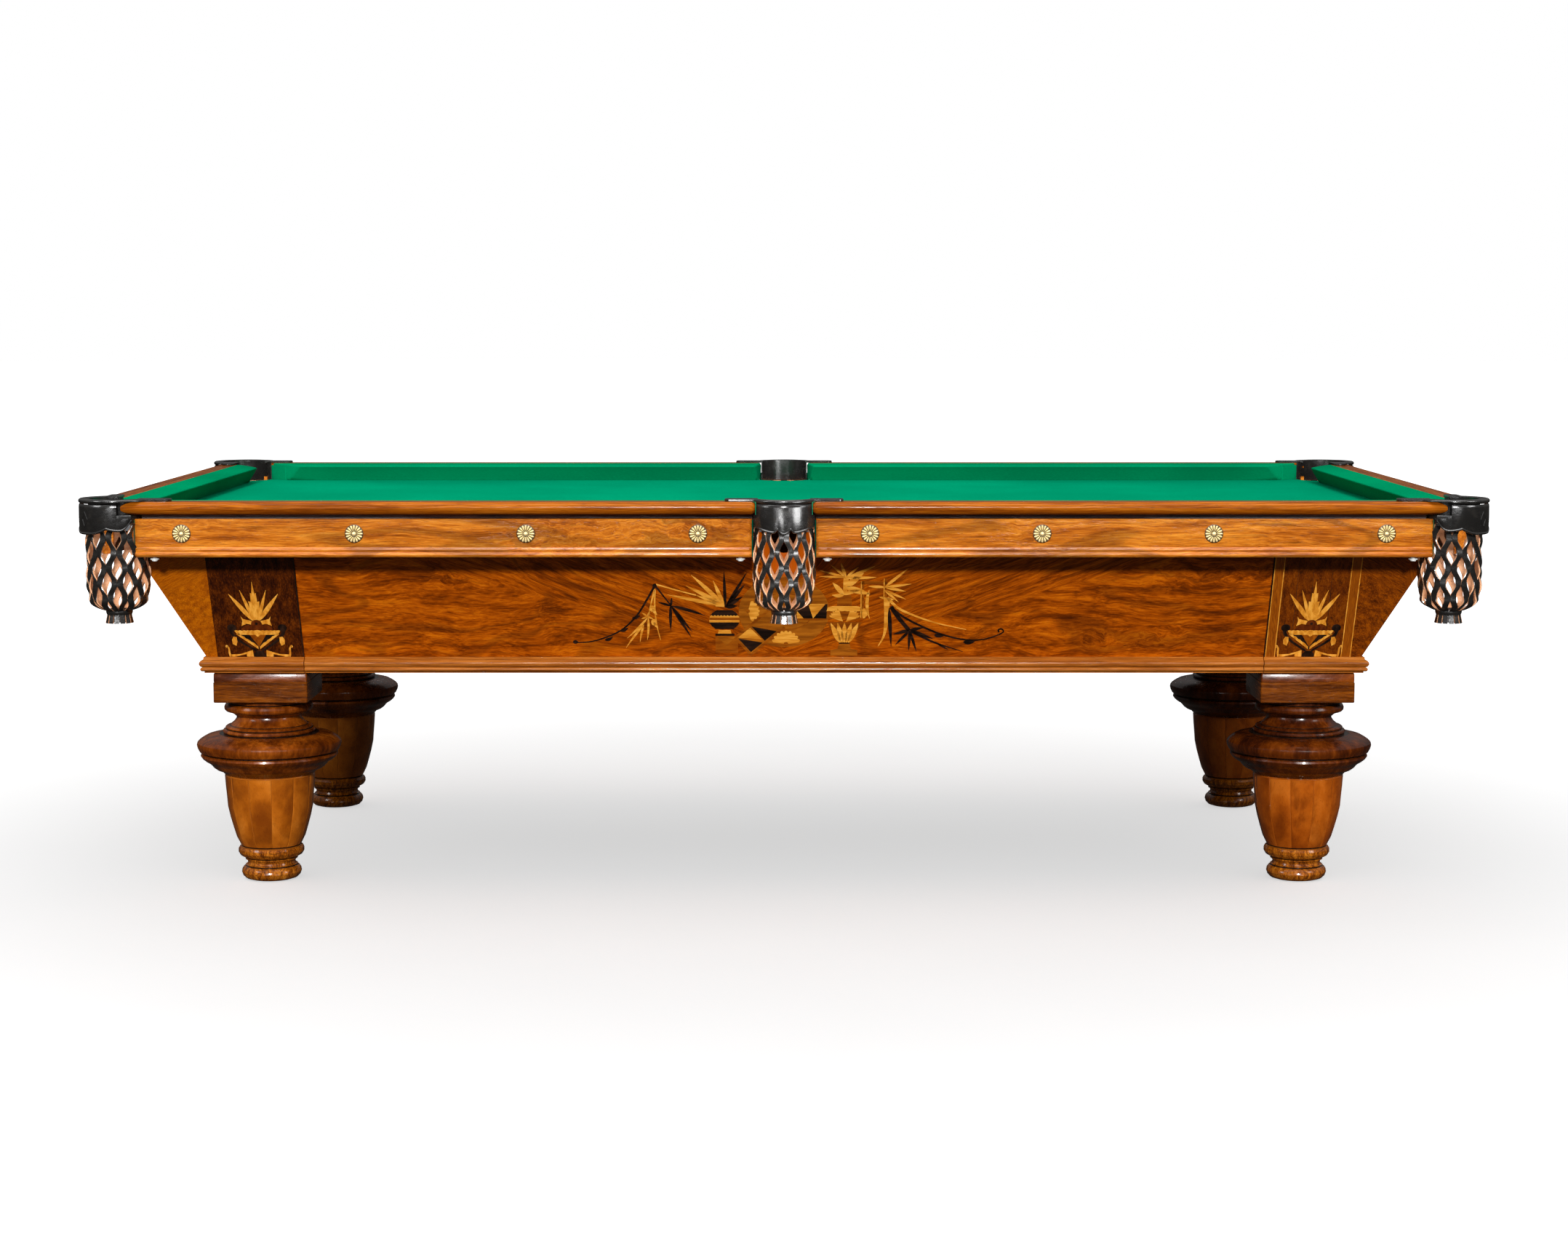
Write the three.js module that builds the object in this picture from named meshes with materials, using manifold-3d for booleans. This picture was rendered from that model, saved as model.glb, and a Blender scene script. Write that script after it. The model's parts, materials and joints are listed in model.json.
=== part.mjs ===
// An antique pool table: four turned legs carry a tapered cabinet, which carries three slates
// under one cloth, six rails with cloth-covered cushions, and six leather pockets.
// Millimetres, +Z up. The origin is on the floor under the middle of the table, the long
// sides face -Y (front) and +Y (rear).
import * as THREE from 'three';
import { mergeVertices } from 'three/addons/utils/BufferGeometryUtils.js';
import Module from 'manifold-3d';

const wasm = await Module();
wasm.setup();

// Driving dimensions
const fieldLength = 2540;        // cushion nose to cushion nose, along X
const fieldWidth = 1270;         // cushion nose to cushion nose, along Y
const railWidth = 112;           // cushion nose to the rail's outer edge
const cushionWidth = 62;         // cloth-covered part of the rail
const railTop = 808;
const bedTop = 768;              // surface of the bed cloth
const noseHeight = 36;           // cushion nose above the bed cloth
const capThickness = 25;         // bullnosed edge of the wooden rail
const slateThickness = 24;
const slateOverhang = 56;        // slate beyond the cushion nose, under the rail
const clothThickness = 1.2;
const blockSize = 193;           // square block on top of each leg
const legHeight = 382;           // floor to the underside of the block
const bodyBottom = 445;          // underside of the cabinet
const mouldingTop = 478;         // the cabinet's sides start to flare here
const bodyHalfLength = 1183;     // corner posts at the base moulding
const bodyHalfWidth = 548;
const flare = 105 / 204;         // outward lean of every cabinet side
const panelThickness = 26;
const postReach = 200.5;         // corner post, from its corner along each side
const panelRecess = 4;           // panels behind the faces of the corner posts
const apronTop = 774;
const apronBottom = 697.5;
const pocketOffset = 56;         // pocket centre beyond the cushion nose
const pocketBore = 56;           // radius of the hole between the rails
const pocketClearance = 63;      // radius cut from everything below the rails
const netRadius = 61;
const gap = 0.3;                 // between pieces that touch

const halfLength = fieldLength / 2;
const halfWidth = fieldWidth / 2;
const slateTop = bedTop - clothThickness - gap;
const slateBottom = slateTop - slateThickness;
const railBase = bedTop + gap;   // underside of rails and cushions
const capBottom = railTop - capThickness;

// Colours, roughness and metalness by material
const finishes = {
  panel: [0x9a5a1c, 0.25, 0],
  rosewood: [0x4a1f10, 0.25, 0],
  moulding: [0x7a4420, 0.3, 0],
  turning: [0x6a3413, 0.2, 0],
  frame: [0xa98255, 0.7, 0],
  slate: [0x5b6066, 0.8, 0],
  bedCloth: [0x0a9468, 0.95, 0],
  cushionCloth: [0x078f5f, 0.95, 0],
  iron: [0x1b1a19, 0.35, 0.2],
  leather: [0x2c2825, 0.5, 0],
};

const table = new THREE.Group();

function addPiece(name, geometry, finish, place = {}) {
  const [color, roughness, metalness] = finishes[finish];
  const material = new THREE.MeshStandardMaterial({ color, roughness, metalness });
  const mesh = new THREE.Mesh(geometry, material);
  mesh.name = name;
  mesh.position.set(place.x ?? 0, place.y ?? 0, place.z ?? 0);
  mesh.rotation.z = place.turn ?? 0;
  table.add(mesh);
}

// ---- Shape helpers ----

function outline(points) {
  return new THREE.Shape(points.map(([x, y]) => new THREE.Vector2(x, y)));
}

// Extrudes an outline through a row of stations. Each station is a function that puts an
// outline point (u, v) in space, so an end can be cut at an angle or a bar can turn a corner.
function sweep(shape, stations, curveSegments = 6) {
  const steps = stations.length - 1;
  const geometry = new THREE.ExtrudeGeometry(shape, {
    depth: steps, steps, curveSegments, bevelEnabled: false,
  });
  const position = geometry.attributes.position;
  for (let i = 0; i < position.count; i += 1) {
    const station = stations[Math.round(position.getZ(i))];
    position.setXYZ(i, ...station(position.getX(i), position.getY(i)));
  }
  geometry.computeVertexNormals();
  return geometry;
}

function box(x0, x1, y0, y1, z0, z1) {
  const geometry = new THREE.BoxGeometry(x1 - x0, y1 - y0, z1 - z0);
  return geometry.translate((x0 + x1) / 2, (y0 + y1) / 2, (z0 + z1) / 2);
}

function upright(radius, x, y, z0, z1, sides = 24) {
  const geometry = new THREE.CylinderGeometry(radius, radius, z1 - z0, sides);
  return geometry.rotateX(Math.PI / 2).translate(x, y, (z0 + z1) / 2);
}

function lathe(path, sides, curvePoints) {
  const points = path.getPoints(curvePoints);
  points[0].x = 0;
  points[points.length - 1].x = 0;
  return new THREE.LatheGeometry(points, sides).rotateX(Math.PI / 2);
}

function toSolid(geometry) {
  const bare = geometry.clone();
  bare.deleteAttribute('normal');
  bare.deleteAttribute('uv');
  const merged = mergeVertices(bare, 1e-3);
  return new wasm.Manifold(new wasm.Mesh({
    numProp: 3,
    vertProperties: new Float32Array(merged.attributes.position.array),
    triVerts: new Uint32Array(merged.index.array),
  }));
}

function fromSolid(solid) {
  const mesh = solid.getMesh();
  const indexed = new THREE.BufferGeometry();
  indexed.setAttribute('position', new THREE.BufferAttribute(mesh.vertProperties, 3));
  indexed.setIndex(new THREE.BufferAttribute(mesh.triVerts, 1));
  const geometry = indexed.toNonIndexed();
  geometry.computeVertexNormals();
  return geometry;
}

function cut(geometry, tools) {
  let solid = toSolid(geometry);
  for (const tool of tools) solid = solid.subtract(toSolid(tool));
  return fromSolid(solid);
}

function join(geometries) {
  const [first, ...rest] = geometries.map(toSolid);
  return fromSolid(rest.reduce((sum, solid) => sum.add(solid), first));
}

// ---- Pockets' places ----

const pocketX = halfLength + pocketOffset;
const pocketY = halfWidth + pocketOffset;
const sidePocketY = halfWidth + cushionWidth;
const pockets = [
  { name: 'front_left', x: -pocketX, y: -pocketY, turn: 0, corner: true },
  { name: 'front_middle', x: 0, y: -sidePocketY, turn: 0, corner: false },
  { name: 'front_right', x: pocketX, y: -pocketY, turn: Math.PI / 2, corner: true },
  { name: 'rear_right', x: pocketX, y: pocketY, turn: Math.PI, corner: true },
  { name: 'rear_middle', x: 0, y: sidePocketY, turn: Math.PI, corner: false },
  { name: 'rear_left', x: -pocketX, y: pocketY, turn: -Math.PI / 2, corner: true },
];

function pocketCutters(radius, z0, z1) {
  return pockets.map(({ x, y }) => upright(radius, x, y, z0, z1));
}

// ---- Legs: a square block and one turned baluster with its foot ----

function legTurning() {
  const path = new THREE.Path();
  path.moveTo(0, 0);
  path.lineTo(48, 0);
  path.quadraticCurveTo(76, 9, 55, 19);        // foot ring
  path.quadraticCurveTo(48, 30, 52, 41);       // hollow
  path.lineTo(57, 43);
  path.quadraticCurveTo(74, 60, 63, 71);       // collar
  path.quadraticCurveTo(88, 120, 93, 222);     // cup
  path.quadraticCurveTo(108, 240, 139, 258);   // underside of the bulge
  path.lineTo(142, 266);
  path.lineTo(139, 270);                       // groove
  path.quadraticCurveTo(162, 284, 134, 302);
  path.lineTo(97, 308);
  path.lineTo(92, 319);                        // ring above the bulge
  path.quadraticCurveTo(70, 322, 65, 340);     // neck
  path.lineTo(77, 352);
  path.quadraticCurveTo(105, 362, 84, 372);    // ring under the block
  path.lineTo(84, legHeight - gap);
  path.lineTo(0, legHeight - gap);
  return lathe(path, 20, 2);
}

function legBlock() {
  const half = blockSize / 2;
  return box(-half, half, -half, half, legHeight, bodyBottom - gap);
}

const legX = 1075;
const legY = 449;
const corners = [
  { name: 'front_left', sx: -1, sy: -1, turn: 0 },
  { name: 'front_right', sx: 1, sy: -1, turn: Math.PI / 2 },
  { name: 'rear_right', sx: 1, sy: 1, turn: Math.PI },
  { name: 'rear_left', sx: -1, sy: 1, turn: -Math.PI / 2 },
];

for (const { name, sx, sy } of corners) {
  const place = { x: sx * legX, y: sy * legY };
  addPiece(`leg_${name}`, legTurning(), 'turning', place);
  addPiece(`leg_block_${name}`, legBlock(), 'turning', place);
}

// ---- Base moulding: one mitred piece round each corner, one long piece on each side ----

function mouldingOutline(back, face) {
  const shape = new THREE.Shape();
  shape.moveTo(back, bodyBottom);
  shape.lineTo(face + 7, bodyBottom);
  shape.lineTo(face + 8, bodyBottom + 5);
  shape.absarc(face + 5, bodyBottom + 15.5, 8.5, -Math.PI / 2, Math.PI / 2, false);
  shape.lineTo(face + 3, mouldingTop);
  shape.lineTo(back, mouldingTop);
  return shape;
}

// Round the front left corner: from the front side's joint, by the mitre, to the left side's.
function cornerMoulding() {
  return sweep(mouldingOutline(gap, 0), [
    (out, up) => [postReach, -out, up],
    (out, up) => [-out, -out, up],
    (out, up) => [-out, postReach, up],
  ]);
}

function straightMoulding(halfSpan, reach) {
  return sweep(mouldingOutline(gap - panelRecess, -1.5), [
    (out, up) => [halfSpan, -(reach + out), up],
    (out, up) => [-halfSpan, -(reach + out), up],
  ]);
}

// ---- Cabinet: flared corner posts, flared panels between them, beams across ----

// L-shaped in plan, with its outer corner at the origin at the base moulding's height.
function cornerPost(corner) {
  const wall = panelThickness + 10;
  const plan = outline([
    [0, 0], [postReach, 0], [postReach, wall], [wall, wall], [wall, postReach], [0, postReach],
  ]);
  const lean = (height) => (x, y) => {
    const shift = flare * Math.max(0, height - mouldingTop);
    return [x < postReach ? x - shift : x, y < postReach ? y - shift : y, height];
  };
  const post = sweep(plan, [lean(bodyBottom), lean(mouldingTop), lean(slateBottom - gap)]);
  const away = pocketX - bodyHalfLength;
  return cut(post, [upright(pocketClearance, -away, -away, 640, slateBottom)]);
}

function panelOutline() {
  const face = -panelRecess;
  const topFace = face + flare * (slateBottom - gap - mouldingTop);
  return outline([
    [face - panelThickness, bodyBottom], [face, bodyBottom], [face, mouldingTop],
    [topFace, slateBottom - gap], [topFace - panelThickness, slateBottom - gap],
  ]);
}

function panel(halfSpan, reach) {
  return sweep(panelOutline(), [
    (out, up) => [halfSpan, -(reach + out), up],
    (out, up) => [-halfSpan, -(reach + out), up],
  ]);
}

for (const { name, sx, sy, turn } of corners) {
  const place = { x: sx * bodyHalfLength, y: sy * bodyHalfWidth, turn };
  addPiece(`corner_post_${name}`, cornerPost(), 'rosewood', place);
  addPiece(`base_moulding_${name}`, cornerMoulding(), 'moulding', place);
}

const sidePanelSpan = bodyHalfLength - postReach - gap;
const endPanelSpan = bodyHalfWidth - postReach - gap;
const longSides = [{ name: 'front', turn: 0 }, { name: 'rear', turn: Math.PI }];
const shortSides = [{ name: 'left', turn: -Math.PI / 2 }, { name: 'right', turn: Math.PI / 2 }];

function sidePanel() {
  const whole = panel(sidePanelSpan, bodyHalfWidth);
  return cut(whole, [upright(pocketClearance, 0, -sidePocketY, 600, slateBottom)]);
}

for (const { name, turn } of longSides) {
  addPiece(`side_panel_${name}`, sidePanel(), 'panel', { turn });
  addPiece(`base_moulding_${name}`, straightMoulding(sidePanelSpan, bodyHalfWidth),
    'moulding', { turn });
}
for (const { name, turn } of shortSides) {
  addPiece(`end_panel_${name}`, panel(endPanelSpan, bodyHalfLength), 'panel', { turn });
  addPiece(`base_moulding_${name}`, straightMoulding(endPanelSpan, bodyHalfLength),
    'moulding', { turn });
}

// ---- Slates on two beams that carry their joints, and the cloth over them ----

const beamHeight = 140;
const beamThickness = 45;
const slateHalfLength = halfLength + slateOverhang;
const slateHalfWidth = halfWidth + slateOverhang;
const slateJoint = slateHalfLength / 3;

function crossBeam() {
  const bottom = slateBottom - beamHeight;
  const inside = bodyHalfWidth - panelRecess - panelThickness;
  const reach = inside + flare * (bottom - mouldingTop) - gap;
  const half = beamThickness / 2;
  return box(-half, half, -reach, reach, bottom, slateBottom - gap);
}

function slate(x0, x1) {
  const plate = box(x0, x1, -slateHalfWidth, slateHalfWidth, slateBottom, slateTop);
  return cut(plate, pocketCutters(pocketClearance, slateBottom - 1, slateTop + 1));
}

function bedCloth() {
  const plate = box(-slateHalfLength, slateHalfLength, -slateHalfWidth, slateHalfWidth,
    slateTop + gap, bedTop);
  return cut(plate, pocketCutters(pocketClearance, slateTop, bedTop + 1));
}

addPiece('cross_beam_left', crossBeam(), 'frame', { x: -slateJoint });
addPiece('cross_beam_right', crossBeam(), 'frame', { x: slateJoint });
addPiece('slate_left', slate(-slateHalfLength, -slateJoint - gap), 'slate');
addPiece('slate_middle', slate(-slateJoint, slateJoint), 'slate');
addPiece('slate_right', slate(slateJoint + gap, slateHalfLength), 'slate');
addPiece('bed_cloth', bedCloth(), 'bedCloth');

// ---- Rails: wooden rail, cloth-covered cushion and apron, all cut back at the pockets ----

// Outlines are drawn outward from the cushion nose and upward from the floor.
const subRailFront = 74.7;

function cushionOutline() {
  const nose = bedTop + noseHeight;
  const back = cushionWidth - gap;
  const foot = cushionWidth / 2 + 0.7;
  return outline([
    [1.4, nose - 3], [0, nose - 1.2], [1.4, nose + 0.6], [back, railTop],
    [back, railTop - 4.4], [foot, railTop - 4.4], [foot, railBase], [foot - 7, railBase],
  ]);
}

function railOutline() {
  const radius = capThickness / 2;
  const shape = new THREE.Shape();
  shape.moveTo(cushionWidth / 2 + 1, railBase);
  shape.lineTo(subRailFront, railBase);
  shape.lineTo(subRailFront, capBottom);
  shape.absarc(railWidth - radius, capBottom + radius, radius, -Math.PI / 2, Math.PI / 2, false);
  shape.lineTo(cushionWidth, railTop);
  shape.lineTo(cushionWidth, railTop - 4.7);
  shape.lineTo(cushionWidth / 2 + 1, railTop - 4.7);
  return shape;
}

function apronOutline() {
  const back = subRailFront + gap;
  const face = railWidth - 12;
  const shape = new THREE.Shape();
  shape.moveTo(back, apronBottom);
  shape.absarc(face - 2, apronBottom + 6, 6, -Math.PI / 2, Math.PI / 2, false);
  shape.lineTo(face + 1.5, apronBottom + 14);
  shape.lineTo(face + 1.5, apronBottom + 20);
  shape.lineTo(face, apronBottom + 21);
  shape.lineTo(face, apronTop);
  shape.lineTo(back, apronTop);
  return shape;
}

// Where a piece stops, as a distance along the rail that grows or shrinks outward.
const cornerMouth = 88;          // cushion nose tip, back from the corner of the nose lines
const sideMouth = 70;            // cushion nose tip, from the middle of the side pocket
const cornerCut = 79 / 62;       // the facing's run along the rail per step outward
const sideCut = 14 / 62;
const railCornerEnd = 43;        // wooden rail's tip beyond the corner of the nose lines
const railSideEnd = 56.8;
const railCornerCut = 1.33;
const railSideCut = (sideMouth - railSideEnd) / cushionWidth;
const apronCornerEnd = 13;
const apronSideEnd = 63.5;

function cushionEnds(noseHalf, middle) {
  const corner = (out) => noseHalf - cornerMouth + cornerCut * out;
  return { corner, middle: (out) => (middle ? sideMouth - sideCut * out : -corner(out)) };
}

function railEnds(noseHalf, middle) {
  const tip = noseHalf + railCornerEnd;
  const corner = (out) => tip - railCornerCut * Math.max(0, railWidth - capThickness / 2 - out);
  const side = (out) => sideMouth - railSideCut * Math.min(out, cushionWidth);
  return { corner, middle: (out) => (middle ? side(out) : -corner(out)) };
}

function apronEnds(noseHalf, middle) {
  const corner = () => noseHalf + apronCornerEnd;
  return { corner, middle: () => (middle ? apronSideEnd : -corner()) };
}

// A bar along one side, from a corner pocket to the middle pocket or to the other corner.
// hand is 1 for the half towards +X and -1 for the half towards -X.
function sideBar(shape, ends, noseLine, hand) {
  const far = (out, up) => [hand * ends.corner(out), -(noseLine + out), up];
  const near = (out, up) => [hand * ends.middle(out), -(noseLine + out), up];
  return sweep(shape, hand > 0 ? [far, near] : [near, far]);
}

// Pocket holes as a side sees them: its corner pockets, before the side is turned in place.
function cornerHoles(noseHalf, noseLine, radius, z0, z1) {
  const y = -(noseLine + pocketOffset);
  const x = noseHalf + pocketOffset;
  return [upright(radius, -x, y, z0, z1), upright(radius, x, y, z0, z1)];
}

function addRailSet(name, noseHalf, noseLine, middle, hand, turn) {
  const railHoles = cornerHoles(noseHalf, noseLine, pocketBore + gap, bedTop, railTop + 1);
  const apronHoles = cornerHoles(noseHalf, noseLine, pocketClearance, 600, apronTop + 1);
  const cushion = sideBar(cushionOutline(), cushionEnds(noseHalf, middle), noseLine, hand);
  const rail = sideBar(railOutline(), railEnds(noseHalf, middle), noseLine, hand);
  const apron = sideBar(apronOutline(), apronEnds(noseHalf, middle), noseLine, hand);
  addPiece(`cushion_${name}`, cushion, 'cushionCloth', { turn });
  addPiece(`rail_${name}`, cut(rail, railHoles), 'moulding', { turn });
  addPiece(`apron_${name}`, cut(apron, apronHoles), 'panel', { turn });
}

for (const { name, turn } of longSides) {
  const left = name === 'front' ? -1 : 1;
  addRailSet(`${name}_left`, halfLength, halfWidth, true, left, turn);
  addRailSet(`${name}_right`, halfLength, halfWidth, true, -left, turn);
}
for (const { name, turn } of shortSides) {
  addRailSet(`${name}_end`, halfWidth, halfLength, false, 1, turn);
}

// ---- Pocket irons: a flat ring with two arms on the rails, and a shield below it ----

const ironThickness = 5;
const ironBottom = railTop + gap;
const ironTop = ironBottom + ironThickness;
const shieldBottom = 745;
const shieldThickness = 4;

function ringSector(outer, inner, from, to, z0, z1) {
  const shape = new THREE.Shape();
  shape.absarc(0, 0, outer, from, to, false);
  shape.absarc(0, 0, inner, to, from, true);
  return sweep(shape, [(x, y) => [x, y, z0], (x, y) => [x, y, z1]], 12);
}

// The pocket's middle is at the origin and the table's front left corner is its corner.
function cornerIron() {
  const outer = 74;
  const ring = ringSector(outer, pocketBore, Math.PI * 0.6, Math.PI * 1.9, ironBottom, ironTop);
  const shield = ringSector(outer, outer - shieldThickness, Math.PI * 0.85, Math.PI * 1.65,
    shieldBottom, ironTop - 1);
  const armReach = 114;
  const armOnSide = box(pocketBore, armReach, -36, -8, ironBottom, ironTop);
  const armOnEnd = box(-36, -8, pocketBore, armReach, ironBottom, ironTop);
  const railTip = railCornerEnd - pocketOffset;
  const notches = [
    box(-railTip - 2, 80, -80, 0, capBottom - 1, ironBottom),
    box(-80, 0, -railTip - 2, 80, capBottom - 1, ironBottom),
  ];
  return cut(join([ring, shield, armOnSide, armOnEnd]), notches);
}

function middleIron() {
  const outer = 68;
  const spread = Math.PI * 0.36;
  const front = Math.PI * 1.5;
  const ring = ringSector(outer, pocketBore, Math.PI * 1.02, Math.PI * 1.98, ironBottom, ironTop);
  const shield = ringSector(outer, outer - shieldThickness, front - spread, front + spread,
    shieldBottom, ironTop - 1);
  const armReach = 118;
  const arms = [1, -1].map((side) => {
    const ends = [side * pocketBore, side * armReach].sort((a, b) => a - b);
    return box(ends[0], ends[1], -32, -4, ironBottom, ironTop);
  });
  const notches = [
    box(railSideEnd - 1, 80, -80, 0, capBottom - 1, ironBottom),
    box(-80, 1 - railSideEnd, -80, 0, capBottom - 1, ironBottom),
  ];
  return cut(join([ring, shield, ...arms]), notches);
}

// ---- Pocket nets: an open-topped leather basket with a gathered end ----

function pocketNet() {
  const wall = 4;
  const top = bedTop - 2;
  const path = new THREE.Path();
  path.moveTo(0, 563);
  path.lineTo(29, 563);
  path.lineTo(28, 575);
  path.lineTo(20, 586);
  path.quadraticCurveTo(58, 598, netRadius, 640);
  path.lineTo(netRadius, top);
  path.lineTo(netRadius - wall, top);
  path.lineTo(netRadius - wall, 640);
  path.quadraticCurveTo(54, 604, 20, 597);
  path.lineTo(0, 597);
  return lathe(path, 12, 3);
}

for (const { name, x, y, turn, corner } of pockets) {
  addPiece(`pocket_iron_${name}`, corner ? cornerIron() : middleIron(), 'iron', { x, y, turn });
  addPiece(`pocket_net_${name}`, pocketNet(), 'leather', { x, y });
}

export default table;
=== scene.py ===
"""The looks of an antique pool table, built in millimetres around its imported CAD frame."""

import json
import math
from math import cos, pi, sin, sqrt

import bmesh
import bpy
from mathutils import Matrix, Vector

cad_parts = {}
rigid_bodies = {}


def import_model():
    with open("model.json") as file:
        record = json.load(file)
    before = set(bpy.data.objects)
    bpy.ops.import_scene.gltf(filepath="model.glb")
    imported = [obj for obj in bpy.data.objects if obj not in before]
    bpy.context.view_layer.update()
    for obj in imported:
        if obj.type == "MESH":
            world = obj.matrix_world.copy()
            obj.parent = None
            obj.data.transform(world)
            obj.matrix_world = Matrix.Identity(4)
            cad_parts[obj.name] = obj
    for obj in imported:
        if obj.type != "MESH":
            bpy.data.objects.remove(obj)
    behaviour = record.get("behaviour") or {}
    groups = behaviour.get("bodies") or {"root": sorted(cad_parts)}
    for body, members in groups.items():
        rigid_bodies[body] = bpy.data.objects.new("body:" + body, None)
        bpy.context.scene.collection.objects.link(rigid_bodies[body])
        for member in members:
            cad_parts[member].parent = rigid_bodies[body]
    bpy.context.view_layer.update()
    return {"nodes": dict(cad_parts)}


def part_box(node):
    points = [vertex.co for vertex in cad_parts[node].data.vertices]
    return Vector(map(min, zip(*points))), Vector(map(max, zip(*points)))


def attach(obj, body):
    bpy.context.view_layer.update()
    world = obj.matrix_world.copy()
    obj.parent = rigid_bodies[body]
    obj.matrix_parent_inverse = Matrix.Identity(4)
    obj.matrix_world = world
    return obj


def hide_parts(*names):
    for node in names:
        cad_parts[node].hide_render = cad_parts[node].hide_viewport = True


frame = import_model()

MM = 0.001


def span(node):
    """The lowest and highest corners of a CAD node, in millimetres."""
    low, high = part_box(node)
    return low / MM, high / MM


# ---- Dimensions that the frame gives ----

NOSE_X = -span("cushion_left_end")[1].x
NOSE_Y = -span("cushion_front_left")[1].y
BED_TOP = span("bed_cloth")[1].z
RAIL_TOP = span("rail_front_left")[1].z
RAIL_WIDTH = -span("rail_front_left")[0].y - NOSE_Y
APRON_TOP = span("apron_front_left")[1].z
APRON_BOTTOM = span("apron_front_left")[0].z
MOULDING_BOTTOM, MOULDING_TOP = (corner.z for corner in span("base_moulding_front"))
MOULDING_OUT = 13.5
BODY_X = -span("base_moulding_front_left")[0].x - MOULDING_OUT
BODY_Y = -span("base_moulding_front_left")[0].y - MOULDING_OUT
POST_TOP = span("corner_post_front_left")[1].z
FLARE = (-span("corner_post_front_left")[0].x - BODY_X) / (POST_TOP - MOULDING_TOP)
POST_REACH = BODY_X + span("base_moulding_front_left")[1].x
PANEL_RECESS = 4
CUSHION_WIDTH = 62
CAP_THICKNESS = 25
POCKET_BORE = 56
POCKET_CLEARANCE = 63
GAP = 0.3

SIDES = {"front": 0, "right": pi / 2, "rear": pi, "left": -pi / 2}
CORNERS = {
    "front_left": (-1, -1, 0),
    "front_right": (1, -1, pi / 2),
    "rear_right": (1, 1, pi),
    "rear_left": (-1, 1, -pi / 2),
}


def pocket_place(name):
    low, high = span(f"pocket_net_{name}")
    return (low.x + high.x) / 2, (low.y + high.y) / 2


# ---- Materials ----


class Look:
    """A material under way. Each method adds a node and gives back its output."""

    def __init__(self, name, **settings):
        self.material = bpy.data.materials.new(name)
        self.material.use_nodes = True
        self.tree = self.material.node_tree
        self.tree.nodes.clear()
        self.surface = self.tree.nodes.new("ShaderNodeBsdfPrincipled")
        output = self.tree.nodes.new("ShaderNodeOutputMaterial")
        self.tree.links.new(self.surface.outputs[0], output.inputs[0])
        for label, value in settings.items():
            self.feed(self.surface.inputs[label.replace("_", " ")], value)

    def feed(self, socket, value):
        if isinstance(value, bpy.types.NodeSocket):
            self.tree.links.new(value, socket)
        elif isinstance(value, tuple) and len(value) == 3 and socket.type == "RGBA":
            socket.default_value = (*value, 1)
        else:
            socket.default_value = value

    def node(self, kind, values, out=0, **settings):
        made = self.tree.nodes.new(kind)
        for label, value in settings.items():
            setattr(made, label, value)
        for key, value in values.items():
            self.feed(made.inputs[key], value)
        return made.outputs[out]

    def math(self, operation, a, b=0.0):
        return self.node("ShaderNodeMath", {0: a, 1: b}, operation=operation)

    def grain(self, stretch=(1, 1, 1)):
        """The piece's own coordinates in metres: along the grain, across it, and up."""
        place = self.node("ShaderNodeAttribute", {}, "Vector", attribute_name="grain")
        return self.scaled(place, stretch)

    def scaled(self, vector, stretch):
        return self.node("ShaderNodeVectorMath", {0: vector, 1: stretch}, operation="MULTIPLY")

    def noise(self, vector, scale=1.0, detail=3.0, roughness=0.5, distortion=0.0):
        values = {"Vector": vector, "Scale": scale, "Detail": detail,
                  "Roughness": roughness, "Distortion": distortion}
        return self.node("ShaderNodeTexNoise", values)

    def warped(self, vector, scale, amount, detail=1.0):
        values = {"Vector": vector, "Scale": scale, "Detail": detail}
        colour = self.node("ShaderNodeTexNoise", values, "Color")
        centred = self.node("ShaderNodeVectorMath", {0: colour, 1: (0.5, 0.5, 0.5)},
                            operation="SUBTRACT")
        push = self.scaled(centred, (amount, amount, amount))
        return self.node("ShaderNodeVectorMath", {0: vector, 1: push}, operation="ADD")

    def fit(self, value, low, high, to_low=0.0, to_high=1.0):
        values = {0: value, 1: low, 2: high, 3: to_low, 4: to_high}
        return self.node("ShaderNodeMapRange", values, interpolation_type="SMOOTHSTEP")

    def mix(self, factor, a, b):
        return self.node("ShaderNodeMix", {0: factor, 6: a, 7: b}, 2, data_type="RGBA")

    def ramp(self, factor, colours):
        made = self.tree.nodes.new("ShaderNodeValToRGB")
        self.feed(made.inputs[0], factor)
        stops = made.color_ramp.elements
        while len(stops) < len(colours):
            stops.new(0.5)
        for index, colour in enumerate(colours):
            stops[index].position = index / (len(colours) - 1)
            stops[index].color = (*colour, 1)
        return made.outputs[0]

    def bump(self, height, distance, under=None):
        values = {"Height": height, "Distance": distance, "Strength": 1.0}
        if under is not None:
            values["Normal"] = under
        return self.node("ShaderNodeBump", values)

    def wear(self, colour=None, roughness=None, normal=None):
        """Joins the finished colour, roughness and normal to the surface."""
        joins = (("Base Color", colour), ("Roughness", roughness), ("Normal", normal))
        for label, value in joins:
            if value is not None:
                self.feed(self.surface.inputs[label], value)
        return self.material


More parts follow.
